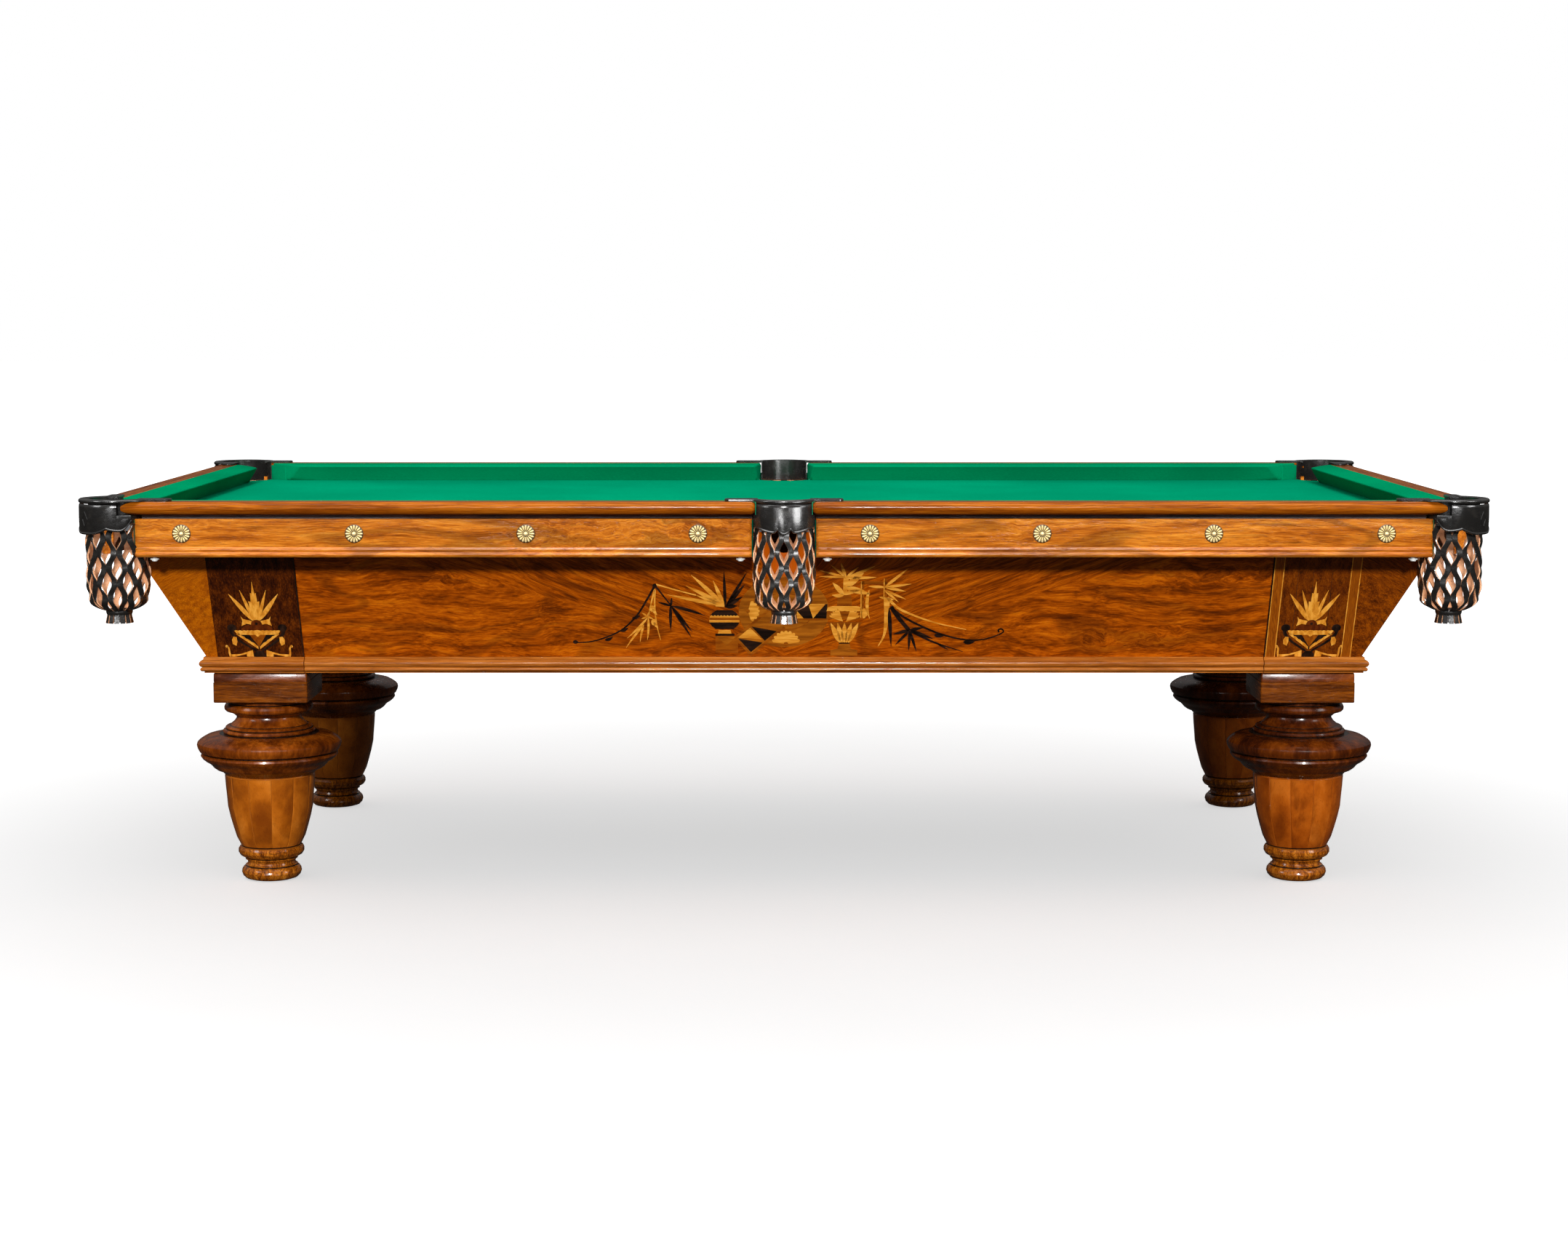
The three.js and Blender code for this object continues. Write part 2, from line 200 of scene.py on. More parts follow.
def wood(name, tones, run=3.0, cross=36.0, swirl=0.03, swirl_scale=5.0, rings=0.0, eyes=0.0,
         fibre=0.4, streak=0.5, streak_colour=(0.02, 0.004, 0.001), gloss=0.22, sparkle=0.0,
         coat=0.3, shine=0.2):
    """Varnished wood. tones go from dark to light; run and cross set its figure's size."""
    look = Look(name, Coat_Weight=coat, Coat_Roughness=0.05, Specular_IOR_Level=shine)
    place = look.warped(look.grain(), swirl_scale, swirl)
    if eyes:
        knots = look.fit(look.noise(look.grain((3.4, 9, 9)), detail=1), 0.5, 0.72)
        curl = look.warped(place, 26, eyes, detail=2)
        place = look.node("ShaderNodeMix", {0: knots, 4: place, 5: curl}, 1, data_type="VECTOR")
    broad = look.noise(look.scaled(place, (run, cross, cross)), detail=5, roughness=0.6)
    fine = look.noise(look.scaled(place, (run * 7, cross * 6, cross * 6)), detail=3)
    value = look.math("ADD", look.math("MULTIPLY", fine, fibre),
                      look.math("MULTIPLY", broad, 1 - fibre))
    colour = look.ramp(look.fit(value, 0.3, 0.7), tones)
    long = look.scaled(place, (run * 1.2, cross * 1.5, cross * 1.5))
    dark = look.noise(long, detail=6, roughness=0.68, distortion=0.6)
    dark = look.fit(dark, 0.52, 0.7, 0.0, streak)
    if rings:
        swell = look.noise(look.scaled(place, (run * 0.45, cross * 0.16, cross * 0.16)), detail=1)
        wave = look.math("SINE", look.math("MULTIPLY", swell, rings))
        dark = look.math("MAXIMUM", dark, look.fit(wave, 0.45, 1.0, 0.0, streak * 0.8))
    colour = look.mix(dark, colour, streak_colour)
    pores = look.noise(look.scaled(look.grain(), (run * 25, 900, 900)), detail=1)
    pores = look.fit(pores, 0.62, 0.72)
    colour = look.mix(look.math("MULTIPLY", pores, 0.35), colour, streak_colour)
    relief = look.bump(pores, -0.00008)
    ripple = look.noise(look.grain((9, 30, 30)), detail=2)
    relief = look.bump(ripple, 0.0006, relief)
    if sparkle:
        patches = look.fit(look.noise(look.grain((3.2, 3, 14)), detail=2), 0.46, 0.58)
        crackle = look.noise(look.grain((35, 190, 260)), detail=3, roughness=0.75)
        crackle = look.math("MULTIPLY", look.fit(crackle, 0.5, 0.72), patches)
        relief = look.bump(crackle, sparkle, relief)
    roughness = look.fit(fine, 0.3, 0.7, gloss * 0.8, gloss * 1.25)
    return look.wear(colour, roughness, relief)


def inlay_wood(name, tones, run=14.0, cross=120.0, gloss=0.3):
    """A small piece of veneer: fine straight grain and a slightly lifted edge."""
    look = Look(name, Coat_Weight=0.3, Coat_Roughness=0.1, Specular_IOR_Level=0.3)
    place = look.warped(look.grain(), 14, 0.01)
    value = look.noise(look.scaled(place, (run, cross, cross)), detail=4, roughness=0.6)
    colour = look.ramp(look.fit(value, 0.3, 0.7), tones)
    relief = look.bump(value, 0.0001)
    return look.wear(colour, look.fit(value, 0.3, 0.7, gloss, gloss * 1.3), relief)


def baize(name, colour, worn):
    """Close wool cloth without any shine: soft mottling and short fibres."""
    look = Look(name, Specular_IOR_Level=0.0)
    cloudy = look.noise(look.grain((2.2, 2.2, 2.2)), detail=3)
    fuzz = look.noise(look.grain((700, 700, 700)), detail=3, roughness=0.7)
    thread = look.noise(look.grain((160, 420, 420)), detail=2)
    mottle = look.math("ADD", look.math("MULTIPLY", cloudy, 0.7), look.math("MULTIPLY", thread, 0.3))
    shade = look.mix(look.fit(mottle, 0.35, 0.65), colour, worn)
    shade = look.mix(look.fit(fuzz, 0.35, 0.75, 0.0, 0.25), shade, (0.0, 0.09, 0.04))
    relief = look.bump(fuzz, 0.0004, look.bump(cloudy, 0.0006))
    return look.wear(shade, look.fit(fuzz, 0.3, 0.7, 0.82, 0.97), relief)


def leather(name, colour, worn, roughness=0.38, creases=0.0011):
    look = Look(name, Specular_IOR_Level=0.6, Coat_Weight=0.3, Coat_Roughness=0.14)
    cell = look.node("ShaderNodeTexVoronoi", {"Vector": look.grain(), "Scale": 420.0})
    crease = look.noise(look.grain((34, 34, 60)), detail=5, roughness=0.65)
    rub = look.noise(look.grain((55, 55, 55)), detail=4, roughness=0.6)
    shade = look.mix(look.fit(rub, 0.5, 0.75, 0.0, 0.6), colour, worn)
    shade = look.mix(look.fit(cell, 0.0, 0.6, 0.25, 0.0), shade, (0.01, 0.008, 0.007))
    relief = look.bump(cell, 0.00008, look.bump(crease, creases))
    return look.wear(shade, look.fit(crease, 0.35, 0.65, roughness * 0.8, roughness * 1.3), relief)


def metal(name, colour, patina, roughness, depth=(0.0, 0.002), bumps=0.0002, shine=0.8):
    """Old metal that is darker in its hollows. The grain's last axis is the relief's height."""
    look = Look(name, Metallic=shine)
    height = look.node("ShaderNodeSeparateXYZ", {0: look.grain()}, "Z")
    spots = look.noise(look.grain((240, 240, 240)), detail=4, roughness=0.65)
    level = look.math("ADD", height, look.math("MULTIPLY", spots, (depth[1] - depth[0]) * 0.5))
    shade = look.mix(look.fit(level, depth[0], depth[1] * 1.3), patina, colour)
    shade = look.mix(look.fit(spots, 0.55, 0.8, 0.0, 0.5), shade, patina)
    dull = look.fit(spots, 0.3, 0.7, roughness * 0.8, roughness * 1.4)
    return look.wear(shade, dull, look.bump(spots, bumps))


def stone(name):
    look = Look(name, Specular_IOR_Level=0.4)
    cloud = look.noise(look.grain((6, 6, 30)), detail=6, roughness=0.65)
    speck = look.noise(look.grain((420, 420, 420)), detail=2)
    shade = look.ramp(look.fit(cloud, 0.3, 0.7), [(0.05, 0.055, 0.06), (0.11, 0.12, 0.13)])
    shade = look.mix(look.fit(speck, 0.55, 0.75, 0.0, 0.4), shade, (0.2, 0.2, 0.2))
    return look.wear(shade, look.fit(speck, 0.3, 0.7, 0.55, 0.75), look.bump(speck, 0.0002))


LOOKS = {
    "panel": wood("figured_veneer", [(0.11, 0.017, 0.000), (0.27, 0.046, 0.000),
                                     (0.45, 0.086, 0.001), (0.62, 0.145, 0.002)],
                  run=6, cross=48, swirl=0.05, swirl_scale=8, rings=34, eyes=0.06,
                  streak=0.46, coat=0.2),
    "apron": wood("apron_veneer", [(0.21, 0.045, 0.003), (0.39, 0.100, 0.006),
                                   (0.54, 0.165, 0.012), (0.68, 0.25, 0.025)],
                  run=4.5, cross=80, swirl=0.022, rings=24, eyes=0.035, streak=0.5,
                  sparkle=0.001),
    "cap": wood("rail_wood", [(0.11, 0.021, 0.001), (0.21, 0.047, 0.002),
                              (0.31, 0.080, 0.003), (0.41, 0.12, 0.008)],
                run=2.6, cross=90, swirl=0.012, streak=0.5, gloss=0.14, coat=0.02, shine=0.08),
    "moulding": wood("moulding_wood", [(0.16, 0.036, 0.003), (0.28, 0.074, 0.007),
                                       (0.40, 0.120, 0.014), (0.50, 0.17, 0.028)],
                     run=2.4, cross=90, swirl=0.01, streak=0.3, gloss=0.14),
    "rosewood": wood("rosewood", [(0.014, 0.002, 0.001), (0.040, 0.007, 0.001),
                                  (0.085, 0.016, 0.001), (0.16, 0.034, 0.002)],
                     run=2.6, cross=70, swirl=0.015, streak=0.8),
    "red_rosewood": wood("red_rosewood", [(0.06, 0.010, 0.001), (0.12, 0.022, 0.001),
                                          (0.18, 0.036, 0.001), (0.26, 0.056, 0.002)],
                         run=2.6, cross=80, swirl=0.01, streak=0.7),
    "corner": wood("corner_veneer", [(0.25, 0.052, 0.001), (0.36, 0.080, 0.001),
                                     (0.47, 0.112, 0.001), (0.57, 0.16, 0.002)],
                   run=4.0, cross=70, swirl=0.012, streak=0.4),
    "dark_corner": wood("dark_corner_veneer", [(0.06, 0.010, 0.000), (0.15, 0.028, 0.001),
                                               (0.25, 0.050, 0.001), (0.36, 0.082, 0.001)],
                        run=4.0, cross=70, swirl=0.012, streak=0.6),
    "turned": wood("turned_wood", [(0.04, 0.007, 0.001), (0.11, 0.021, 0.001),
                                   (0.19, 0.040, 0.002), (0.29, 0.070, 0.004)],
                   run=7, cross=22, swirl=0.04, fibre=0.25, streak=0.5, gloss=0.24, coat=0.15),
    "dark_turned": wood("dark_turned_wood", [(0.015, 0.003, 0.001), (0.045, 0.008, 0.001),
                                             (0.085, 0.016, 0.001), (0.15, 0.032, 0.002)],
                        run=7, cross=22, swirl=0.04, fibre=0.25, streak=0.5, gloss=0.24,
                        coat=0.15),
    "cup": wood("staved_cup", [(0.17, 0.036, 0.002), (0.29, 0.070, 0.003),
                               (0.41, 0.108, 0.006), (0.53, 0.16, 0.014)],
                run=6, cross=9, swirl=0.06, swirl_scale=9, fibre=0.14, streak=0.3, gloss=0.2),
    "red_cup": wood("red_staved_cup", [(0.14, 0.024, 0.001), (0.25, 0.048, 0.002),
                                       (0.36, 0.078, 0.004), (0.47, 0.12, 0.010)],
                    run=6, cross=9, swirl=0.06, swirl_scale=9, fibre=0.14, streak=0.3,
                    gloss=0.2),
    "block": wood("block_wood", [(0.04, 0.008, 0.001), (0.10, 0.022, 0.001),
                                 (0.17, 0.040, 0.002), (0.25, 0.066, 0.003)],
                  run=7, cross=120, swirl=0.006, streak=0.6, coat=0.1),
    "zebra": wood("zebra_wood", [(0.06, 0.012, 0.001), (0.20, 0.047, 0.002),
                                 (0.36, 0.100, 0.005), (0.52, 0.18, 0.016)],
                  run=26, cross=110, swirl=0.012, swirl_scale=30, rings=150, streak=0.7,
                  gloss=0.18),
    "light": inlay_wood("light_inlay", [(0.56, 0.18, 0.010), (0.76, 0.30, 0.028),
                                        (0.90, 0.42, 0.060)]),
    "orange": inlay_wood("orange_inlay", [(0.17, 0.034, 0.001), (0.27, 0.060, 0.001),
                                          (0.36, 0.090, 0.002)]),
    "golden": inlay_wood("golden_inlay", [(0.20, 0.05, 0.002), (0.32, 0.085, 0.003),
                                          (0.44, 0.13, 0.006)]),
    "brown": inlay_wood("brown_inlay", [(0.05, 0.008, 0.001), (0.10, 0.016, 0.001),
                                        (0.15, 0.028, 0.002)]),
    # Black inlay; on the legs' grooves and beside the pilasters it is painted shade.
    "black": inlay_wood("black_inlay_and_painted_shade", [(0.004, 0.002, 0.001), (0.012, 0.005, 0.003),
                                        (0.03, 0.012, 0.006)]),
    "frame": wood("frame_wood", [(0.22, 0.12, 0.05), (0.32, 0.18, 0.08), (0.42, 0.25, 0.12)],
                  run=3, cross=40, streak=0.3, gloss=0.6),
    "bed": baize("bed_baize", (0.0, 0.20, 0.096), (0.0, 0.26, 0.125)),
    # The bed's baize painted darker for the cushions and the rails' jaws: painted shade.
    "cushion": baize("cushion_baize_with_painted_shade", (0.0, 0.16, 0.065), (0.0, 0.215, 0.087)),
    # Lining cloth painted near-black green: painted shade for the strips inside the middle pockets.
    "shaded": baize("painted_shade_lining_baize", (0.0, 0.04, 0.02), (0.0, 0.06, 0.03)),
    "iron": leather("pocket_leather", (0.008, 0.0075, 0.007), (0.022, 0.019, 0.016), 0.22,
                    0.0004),
    "strap": leather("net_leather", (0.010, 0.009, 0.008), (0.035, 0.030, 0.026), 0.27),
    "hide": leather("cut_leather", (0.64, 0.31, 0.15), (0.82, 0.50, 0.29), 0.7),
    "brass": metal("antique_brass", (0.95, 0.76, 0.38), (0.06, 0.03, 0.008), 0.35,
                   (-0.0005, 0.0011), shine=0.3),
    # Near-white and only a little metallic, so the bolt heads shine white: light metal with a
    # painted glint.
    "zinc": metal("zinc_bolt_with_painted_glint", (0.92, 0.94, 0.92), (0.5, 0.5, 0.47), 0.5, (-1, 0), shine=0.15),
    "stone": stone("slate_stone"),
}


# ---- Mesh building ----


class Form:
    """Points in millimetres and faces, each face with the place of its material."""

    def __init__(self):
        self.points = []
        self.faces = []
        self.marks = []
        self.grain = []

    def add(self, points, faces, mark=0, grain=None):
        start = len(self.points)
        self.points += [tuple(point) for point in points]
        self.faces += [[start + index for index in face] for face in faces]
        self.marks += mark if isinstance(mark, list) else [mark] * len(faces)
        self.grain += [tuple(point) for point in (grain or points)]

    def turned(self, turn=0.0, shift=(0, 0)):
        """Turns what is there about the upright axis, then moves it. The grain stays."""
        c, s = cos(turn), sin(turn)
        self.points = [(c * x - s * y + shift[0], s * x + c * y + shift[1], z)
                       for x, y, z in self.points]
        return self


def loft(rows, ring=True, caps=True, around=False):
    """Points and faces of a skin over rows of points. ring closes each row on itself."""
    count = len(rows[0])
    points = [point for row in rows for point in row]
    faces = []
    last = len(rows) if around else len(rows) - 1
    for i in range(last):
        for j in range(count if ring else count - 1):
            k = (j + 1) % count
            m = (i + 1) % len(rows)
            faces.append([i * count + j, i * count + k, m * count + k, m * count + j])
    if caps and not around:
        faces.append(list(range(count))[::-1])
        faces.append([(len(rows) - 1) * count + j for j in range(count)])
    return points, faces


def add_piece(name, form, looks, stands_for=(), smooth=35):
    """A Blender object of the form, riding on the table."""
    mesh = bpy.data.meshes.new(name)
    mesh.from_pydata([Vector(point) * MM for point in form.points], [], form.faces)
    for look in looks:
        mesh.materials.append(LOOKS[look])
    mesh.polygons.foreach_set("material_index", form.marks)
    grain = mesh.attributes.new("grain", "FLOAT_VECTOR", "POINT")
    grain.data.foreach_set("vector", [value * MM for point in form.grain for value in point])
    work = bmesh.new()
    work.from_mesh(mesh)
    bmesh.ops.remove_doubles(work, verts=work.verts, dist=1e-6)
    bmesh.ops.recalc_face_normals(work, faces=work.faces)
    work.to_mesh(mesh)
    work.free()
    mesh.shade_smooth()
    mesh.set_sharp_from_angle(angle=math.radians(smooth))
    piece = bpy.data.objects.new(name, mesh)
    bpy.context.scene.collection.objects.link(piece)
    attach(piece, "root")
    if stands_for:
        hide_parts(*stands_for)
    return piece


def rings(profile, steps, middle=(0, 0)):
    """A whole ring of points for each radius and height of a profile."""
    x, y = middle
    turns = [a * pi / (steps / 2) for a in range(steps)]
    return [[(x + r * cos(turn), y + r * sin(turn), z) for turn in turns] for r, z in profile]


def stood_at(angle, profile, wider=0.0):
    """A profile of radii and heights, stood up at an angle round the middle."""
    return [((r + wider) * cos(angle), (r + wider) * sin(angle), z) for r, z in profile]


def side_sizes(side):
    """Half the free length of a side between its corner posts, and the side's reach."""
    if side in ("front", "rear"):
        return BODY_X - POST_REACH - GAP, BODY_Y
    return BODY_Y - POST_REACH - GAP, BODY_X


def side_point(along, out, up):
    """A point on the front side: along it, outward from the table's middle line, and up."""
    return (along, -out, up)


def arc(centre, radius, start, end, steps, squash=1.0):
    """Points on an arc in a plane, angles in degrees."""
    found = []
    for i in range(steps + 1):
        angle = math.radians(start + (end - start) * i / steps)
        found.append((centre[0] + radius * cos(angle), centre[1] + radius * squash * sin(angle)))
    return found


def smooth_path(points, steps=6):
    """A Catmull-Rom curve through a few points."""
    ends = [points[0], *points, points[-1]]
    path = []
    for i in range(1, len(ends) - 2):
        before, start, end, after = (Vector(p) for p in ends[i - 1:i + 3])
        for j in range(steps):
            t = j / steps
            path.append(0.5 * (2 * start + (end - before) * t
                               + (2 * before - 5 * start + 4 * end - after) * t * t
                               + (3 * start - before - 3 * end + after) * t ** 3))
    path.append(Vector(points[-1]))
    return path


# ---- Legs ----

LEG_TOP = span("leg_front_left")[1].z
BLOCK_TOP = span("leg_block_front_left")[1].z
LEG_PROFILE = [
    (0, 0), (46, 0), (54, 2.5), (59.5, 8), (62, 15), (61, 21), (57.5, 26), (55, 27.5), (53, 28.5),
    (54, 30), (50.5, 32), (49, 36), (50.5, 40), (54, 42), (54, 45), (52, 46), (58, 47.5),
    (64, 51), (68, 57.5), (68, 64), (65.5, 68.5), (62, 70.5), (60, 71.6), (62.5, 73), (71, 90),
    (76.7, 109), (83, 132), (88, 155), (89.5, 175), (91.5, 197), (93, 220), (91, 222.6),
    (94, 224.5), (99, 229.5), (110, 234), (116.6, 239), (119.5, 243), (125, 248), (132, 252),
    (138, 257), (141.5, 262), (140.5, 266), (136, 267.6), (135, 269), (137, 270.4), (144, 272),
    (147.5, 279), (149, 285), (148, 290), (144.5, 294), (139, 298), (130, 303), (114, 306.5),
    (103, 308), (95, 308.6), (92, 309.6), (94.5, 311), (95.5, 313.6), (94, 316.4), (90, 317.6),
    (88, 318.6), (89.6, 320), (89.6, 322), (86.5, 324.4), (81, 325.2), (79.5, 326.4), (77, 329),
    (71, 334), (67, 340), (66, 345), (69, 346), (72, 349), (78, 352.4), (81, 353.4), (82, 354.6),
    (88, 355.6), (91, 359), (91.5, 363.5), (89.5, 368.5), (85, 371.4), (82.5, 372.6), (84, 374),
    (84, LEG_TOP), (0, LEG_TOP),
]
# Heights of the leg's grooves, which are painted black as shade.
GROOVES = (28.4, 46, 71.6, 222.6, 268.6, 309.2, 318.4, 325.8, 345.6, 354.2, 372.4)
STAVES = 12
CUP_SPAN = (73, 222)


def leg(corner):
    """One turned baluster. Its cup is built of staves, with a groove at each joint."""
    angles = []
    for stave in range(STAVES):
        start = stave * 360 / STAVES
        angles += [start, start + 0.9] + [start + step * 360 / STAVES / 7 for step in range(1, 7)]
        angles.append(start + 360 / STAVES - 0.9)
    rows = []
    for radius, height in LEG_PROFILE:
        row = []
        for index, angle in enumerate(angles):
            grooved = index % 9 == 0 and CUP_SPAN[0] <= height <= CUP_SPAN[1]
            reach = max(0, radius - (0.7 if grooved else 0))
            row.append((reach * cos(math.radians(angle)), reach * sin(math.radians(angle)), height))
        rows.append(row)
    points, faces = loft(rows, caps=False)
    marks = []
    for i in range(len(rows) - 1):
        height = (LEG_PROFILE[i][1] + LEG_PROFILE[i + 1][1]) / 2
        mark = 1 if CUP_SPAN[0] - 3 < height < CUP_SPAN[1] else 2 if height < 70 else 0
        # Faces at a groove take the black look: painted shade in the groove.
        if any(abs(height - groove) < 0.95 for groove in GROOVES):
            mark = 3
        marks += [mark] * len(angles)
    sx, sy, turn = CORNERS[corner]
    low, high = span(f"leg_{corner}")
    middle = ((low.x + high.x) / 2, (low.y + high.y) / 2)
    grain = []
    for index, (px, py, pz) in enumerate(points):
        stave = index % len(angles) // 9 if CUP_SPAN[0] - 3 < pz < CUP_SPAN[1] else 0
        grain.append((pz + 500 * turn + 1370 * stave, px, py))
    form = Form()
    form.add(points, faces, marks, grain)
    form.turned(turn + 0.2, middle)
    woods = ["dark_turned", "red_cup"] if corner.endswith("right") else ["turned", "cup"]
    add_piece(f"turned_leg_{corner}", form, [*woods, "zebra", "black"],
              [f"leg_{corner}"], smooth=28)


def rounded_square(half, radius, height):
    """A ring round a square with rounded corners."""
    ring = []
    for quarter in range(4):
        x, y = [(1, 1), (-1, 1), (-1, -1), (1, -1)][quarter]
        centre = (x * (half - radius), y * (half - radius))
        ring += [(px, py, height) for px, py in arc(centre, radius, quarter * 90,
                                                     quarter * 90 + 90, 3)]
    return ring


def leg_block(corner):
    low, high = span(f"leg_block_{corner}")
    half = (high.x - low.x) / 2
    line = LEG_TOP + 43
    levels = [(half - 1.2, LEG_TOP + GAP), (half, LEG_TOP + 1.5), (half, line - 1.4),
              (half - 1.2, line - 0.8), (half - 1.2, line + 0.4), (half - 0.6, line + 1),
              (half - 0.8, BLOCK_TOP - 4), (half - 2.4, BLOCK_TOP - 1), (half - 4, BLOCK_TOP)]
    points, faces = loft([rounded_square(reach, 3, height) for reach, height in levels])
    marks = [0 if index // 16 < 4 else 1 for index in range(len(faces))]
    form = Form()
    form.add(points, faces, marks, [(x + y + 777 * CORNERS[corner][2], max(abs(x), abs(y)), z)
                                    for x, y, z in points])
    form.turned(0, ((low.x + high.x) / 2, (low.y + high.y) / 2))
    add_piece(f"square_block_{corner}", form, ["block", "turned"],
              [f"leg_block_{corner}"])


# ---- Base moulding ----


def moulding_profile(back, face):
    """Outward and up: a fillet, a hollow, a big round, a quirk and a small bottom bead."""
    base, top = MOULDING_BOTTOM, MOULDING_TOP
    profile = [(back, base), (face + 4, base), (face + 4, base + 3.4)]
    profile += arc((face + 7.2, base + 7.8), 4.2, -110, 70, 8)
    profile += [(face + 7.4, base + 12.6)]
    profile += arc((face + 6, base + 19.6), 7.5, -72, 80, 9)
    profile += [(face + 5.8, base + 28), (face + 5.6, top - 1), (face + 4.6, top), (back, top)]
    return profile


def corner_moulding(corner):
    profile = moulding_profile(GAP, 0)
    rows = [
        [(POST_REACH, -out, up) for out, up in profile],
        [(-out, -out, up) for out, up in profile],
        [(-out, POST_REACH, up) for out, up in profile],
    ]
    points, faces = loft(rows)
    grain = []
    for index, (x, y, z) in enumerate(points):
        row = index // len(profile)
        grain.append((x if row < 2 else x - POST_REACH, profile[index % len(profile)][0], z))
    sx, sy, turn = CORNERS[corner]
    form = Form()
    form.add(points, faces, 0, grain)
    form.turned(turn, (sx * BODY_X, sy * BODY_Y))
    add_piece(f"corner_moulding_{corner}", form, ["moulding"],
              [f"base_moulding_{corner}"], smooth=40)


def straight_moulding(side):
    half, reach = side_sizes(side)
    profile = moulding_profile(GAP - PANEL_RECESS, -1.2)
    joint = 1.3
    points, faces = loft([[side_point(x, reach + out, up) for out, up in profile]
                          for x in (joint - half, half - joint)])
    form = Form()
    form.add(points, faces, 0, [(x + 3000 * SIDES[side], -y - reach, z) for x, y, z in points])
    form.turned(SIDES[side])
    add_piece(f"long_moulding_{side}", form, ["moulding"],
              [f"base_moulding_{side}"], smooth=40)


# ---- Cabinet ----


def lean(height):
    return FLARE * max(0, height - MOULDING_TOP)


def corner_post(corner):
    """The L-shaped flared corner with its veneer, cut back where the pocket hangs."""
    wall = 36
    plan = [(0, 0), (POST_REACH, 0), (POST_REACH, wall), (wall, wall), (wall, POST_REACH),
            (0, POST_REACH)]
    rows = []
    for height in [MOULDING_BOTTOM, MOULDING_TOP, (MOULDING_TOP + POST_TOP) / 2, POST_TOP]:
        shift = lean(height)
        rows.append([(x - shift if x < POST_REACH else x, y - shift if y < POST_REACH else y,
                      height) for x, y in plan])
    points, faces = loft(rows)
    sx, sy, turn = CORNERS[corner]
    form = Form()
    form.add(points, faces, 0, [(x - y + 900 * turn, x + y, z * 1.13) for x, y, z in points])
    form.turned(turn, (sx * BODY_X, sy * BODY_Y))
    veneer = "dark_corner" if "right" in corner else "corner"
    post = add_piece(f"flared_post_{corner}", form, [veneer],
                     [f"corner_post_{corner}"], smooth=20)
    carve(post, [pocket_place(corner)], 630)


def carve(piece, places, bottom):
    """Cuts the pockets' round clearance out of a piece."""
    cutter_form = Form()
    above = RAIL_TOP + 22
    for middle in places:
        walls = [(POCKET_CLEARANCE, bottom), (POCKET_CLEARANCE, above)]
        cutter_form.add(*loft(rings(walls, 48, middle)))
    mesh = bpy.data.meshes.new("cutter")
    mesh.from_pydata([Vector(point) * MM for point in cutter_form.points], [], cutter_form.faces)
    mesh.materials.append(piece.data.materials[0])
    cutter = bpy.data.objects.new("cutter", mesh)
    bpy.context.scene.collection.objects.link(cutter)
    work = bmesh.new()
    work.from_mesh(mesh)
    bmesh.ops.recalc_face_normals(work, faces=work.faces)
    work.to_mesh(mesh)
    work.free()
    cut = piece.modifiers.new("cut", "BOOLEAN")
    cut.operation = "DIFFERENCE"
    cut.solver = "EXACT"
    cut.object = cutter
    bpy.context.view_layer.update()
    whole = bpy.data.meshes.new_from_object(piece.evaluated_get(
        bpy.context.evaluated_depsgraph_get()))
    piece.modifiers.remove(cut)
    piece.data = whole
    bpy.data.objects.remove(cutter)


def panel(side):
    """A flared panel between two corner posts."""
    long = side in ("front", "rear")
    half, reach = side_sizes(side)
    face = reach - PANEL_RECESS
    thick = 26
    outline = [(face - thick, MOULDING_BOTTOM), (face, MOULDING_BOTTOM), (face, MOULDING_TOP),
               (face + lean(POST_TOP), POST_TOP), (face - thick + lean(POST_TOP), POST_TOP)]
    rows = [[side_point(x, out, up) for out, up in outline] for x in (-half, 0, half)]
    points, faces = loft(rows)
    form = Form()
    form.add(points, faces, 0,
             [(x + 2100 * SIDES[side], -y - reach, z * 1.13) for x, y, z in points])
    form.turned(SIDES[side])
    name = f"side_panel_{side}" if long else f"end_panel_{side}"
    piece = add_piece(f"veneered_{name}", form, ["panel"], [name], smooth=20)
    if long:
        carve(piece, [pocket_place(f"{side}_middle")], 600)


# ---- Inlays: flat outlines on a flared face, along it and up ----


def leaf(root, tip, width, bend=0.0, steps=7):
    """A pointed leaf. bend moves its middle sideways."""
    root, tip = Vector(root), Vector(tip)
    run = tip - root
    across = Vector((-run.y, run.x)).normalized()
    left, right = [], []
    for i in range(steps + 1):
        t = i / steps
        middle = root + run * t + across * bend * 4 * t * (1 - t)
        half = width / 2 * (sin(pi * t ** 0.75) ** 0.8 if 0 < t < 1 else 0.08)
        left.append(middle + across * half)
        right.append(middle - across * half)
    return left + right[::-1]


def ribbon(points, start_width, end_width):
    """A band along a smooth path, narrowing or widening on its way."""
    path = smooth_path(points)
    left, right = [], []
    for i, middle in enumerate(path):
        run = path[min(i + 1, len(path) - 1)] - path[max(i - 1, 0)]
        across = Vector((-run.y, run.x)).normalized()
        half = (start_width + (end_width - start_width) * i / (len(path) - 1)) / 2
        left.append(middle + across * half)
        right.append(middle - across * half)
    return left + right[::-1]


def disc(centre, radius, steps=16, squash=1.0):
    return arc(centre, radius, 0, 360, steps, squash)[:-1]


def fan(centre, radius, start, end, lobes):
    """A scalloped fan with its point at the centre."""
    rim = []
    for i in range(lobes * 4 + 1):
        angle = math.radians(start + (end - start) * i / (lobes * 4))
        reach = radius * (0.86 + 0.14 * abs(sin(pi * i / 4)))
        rim.append((centre[0] + reach * cos(angle), centre[1] + reach * sin(angle)))
    return [centre, *rim]


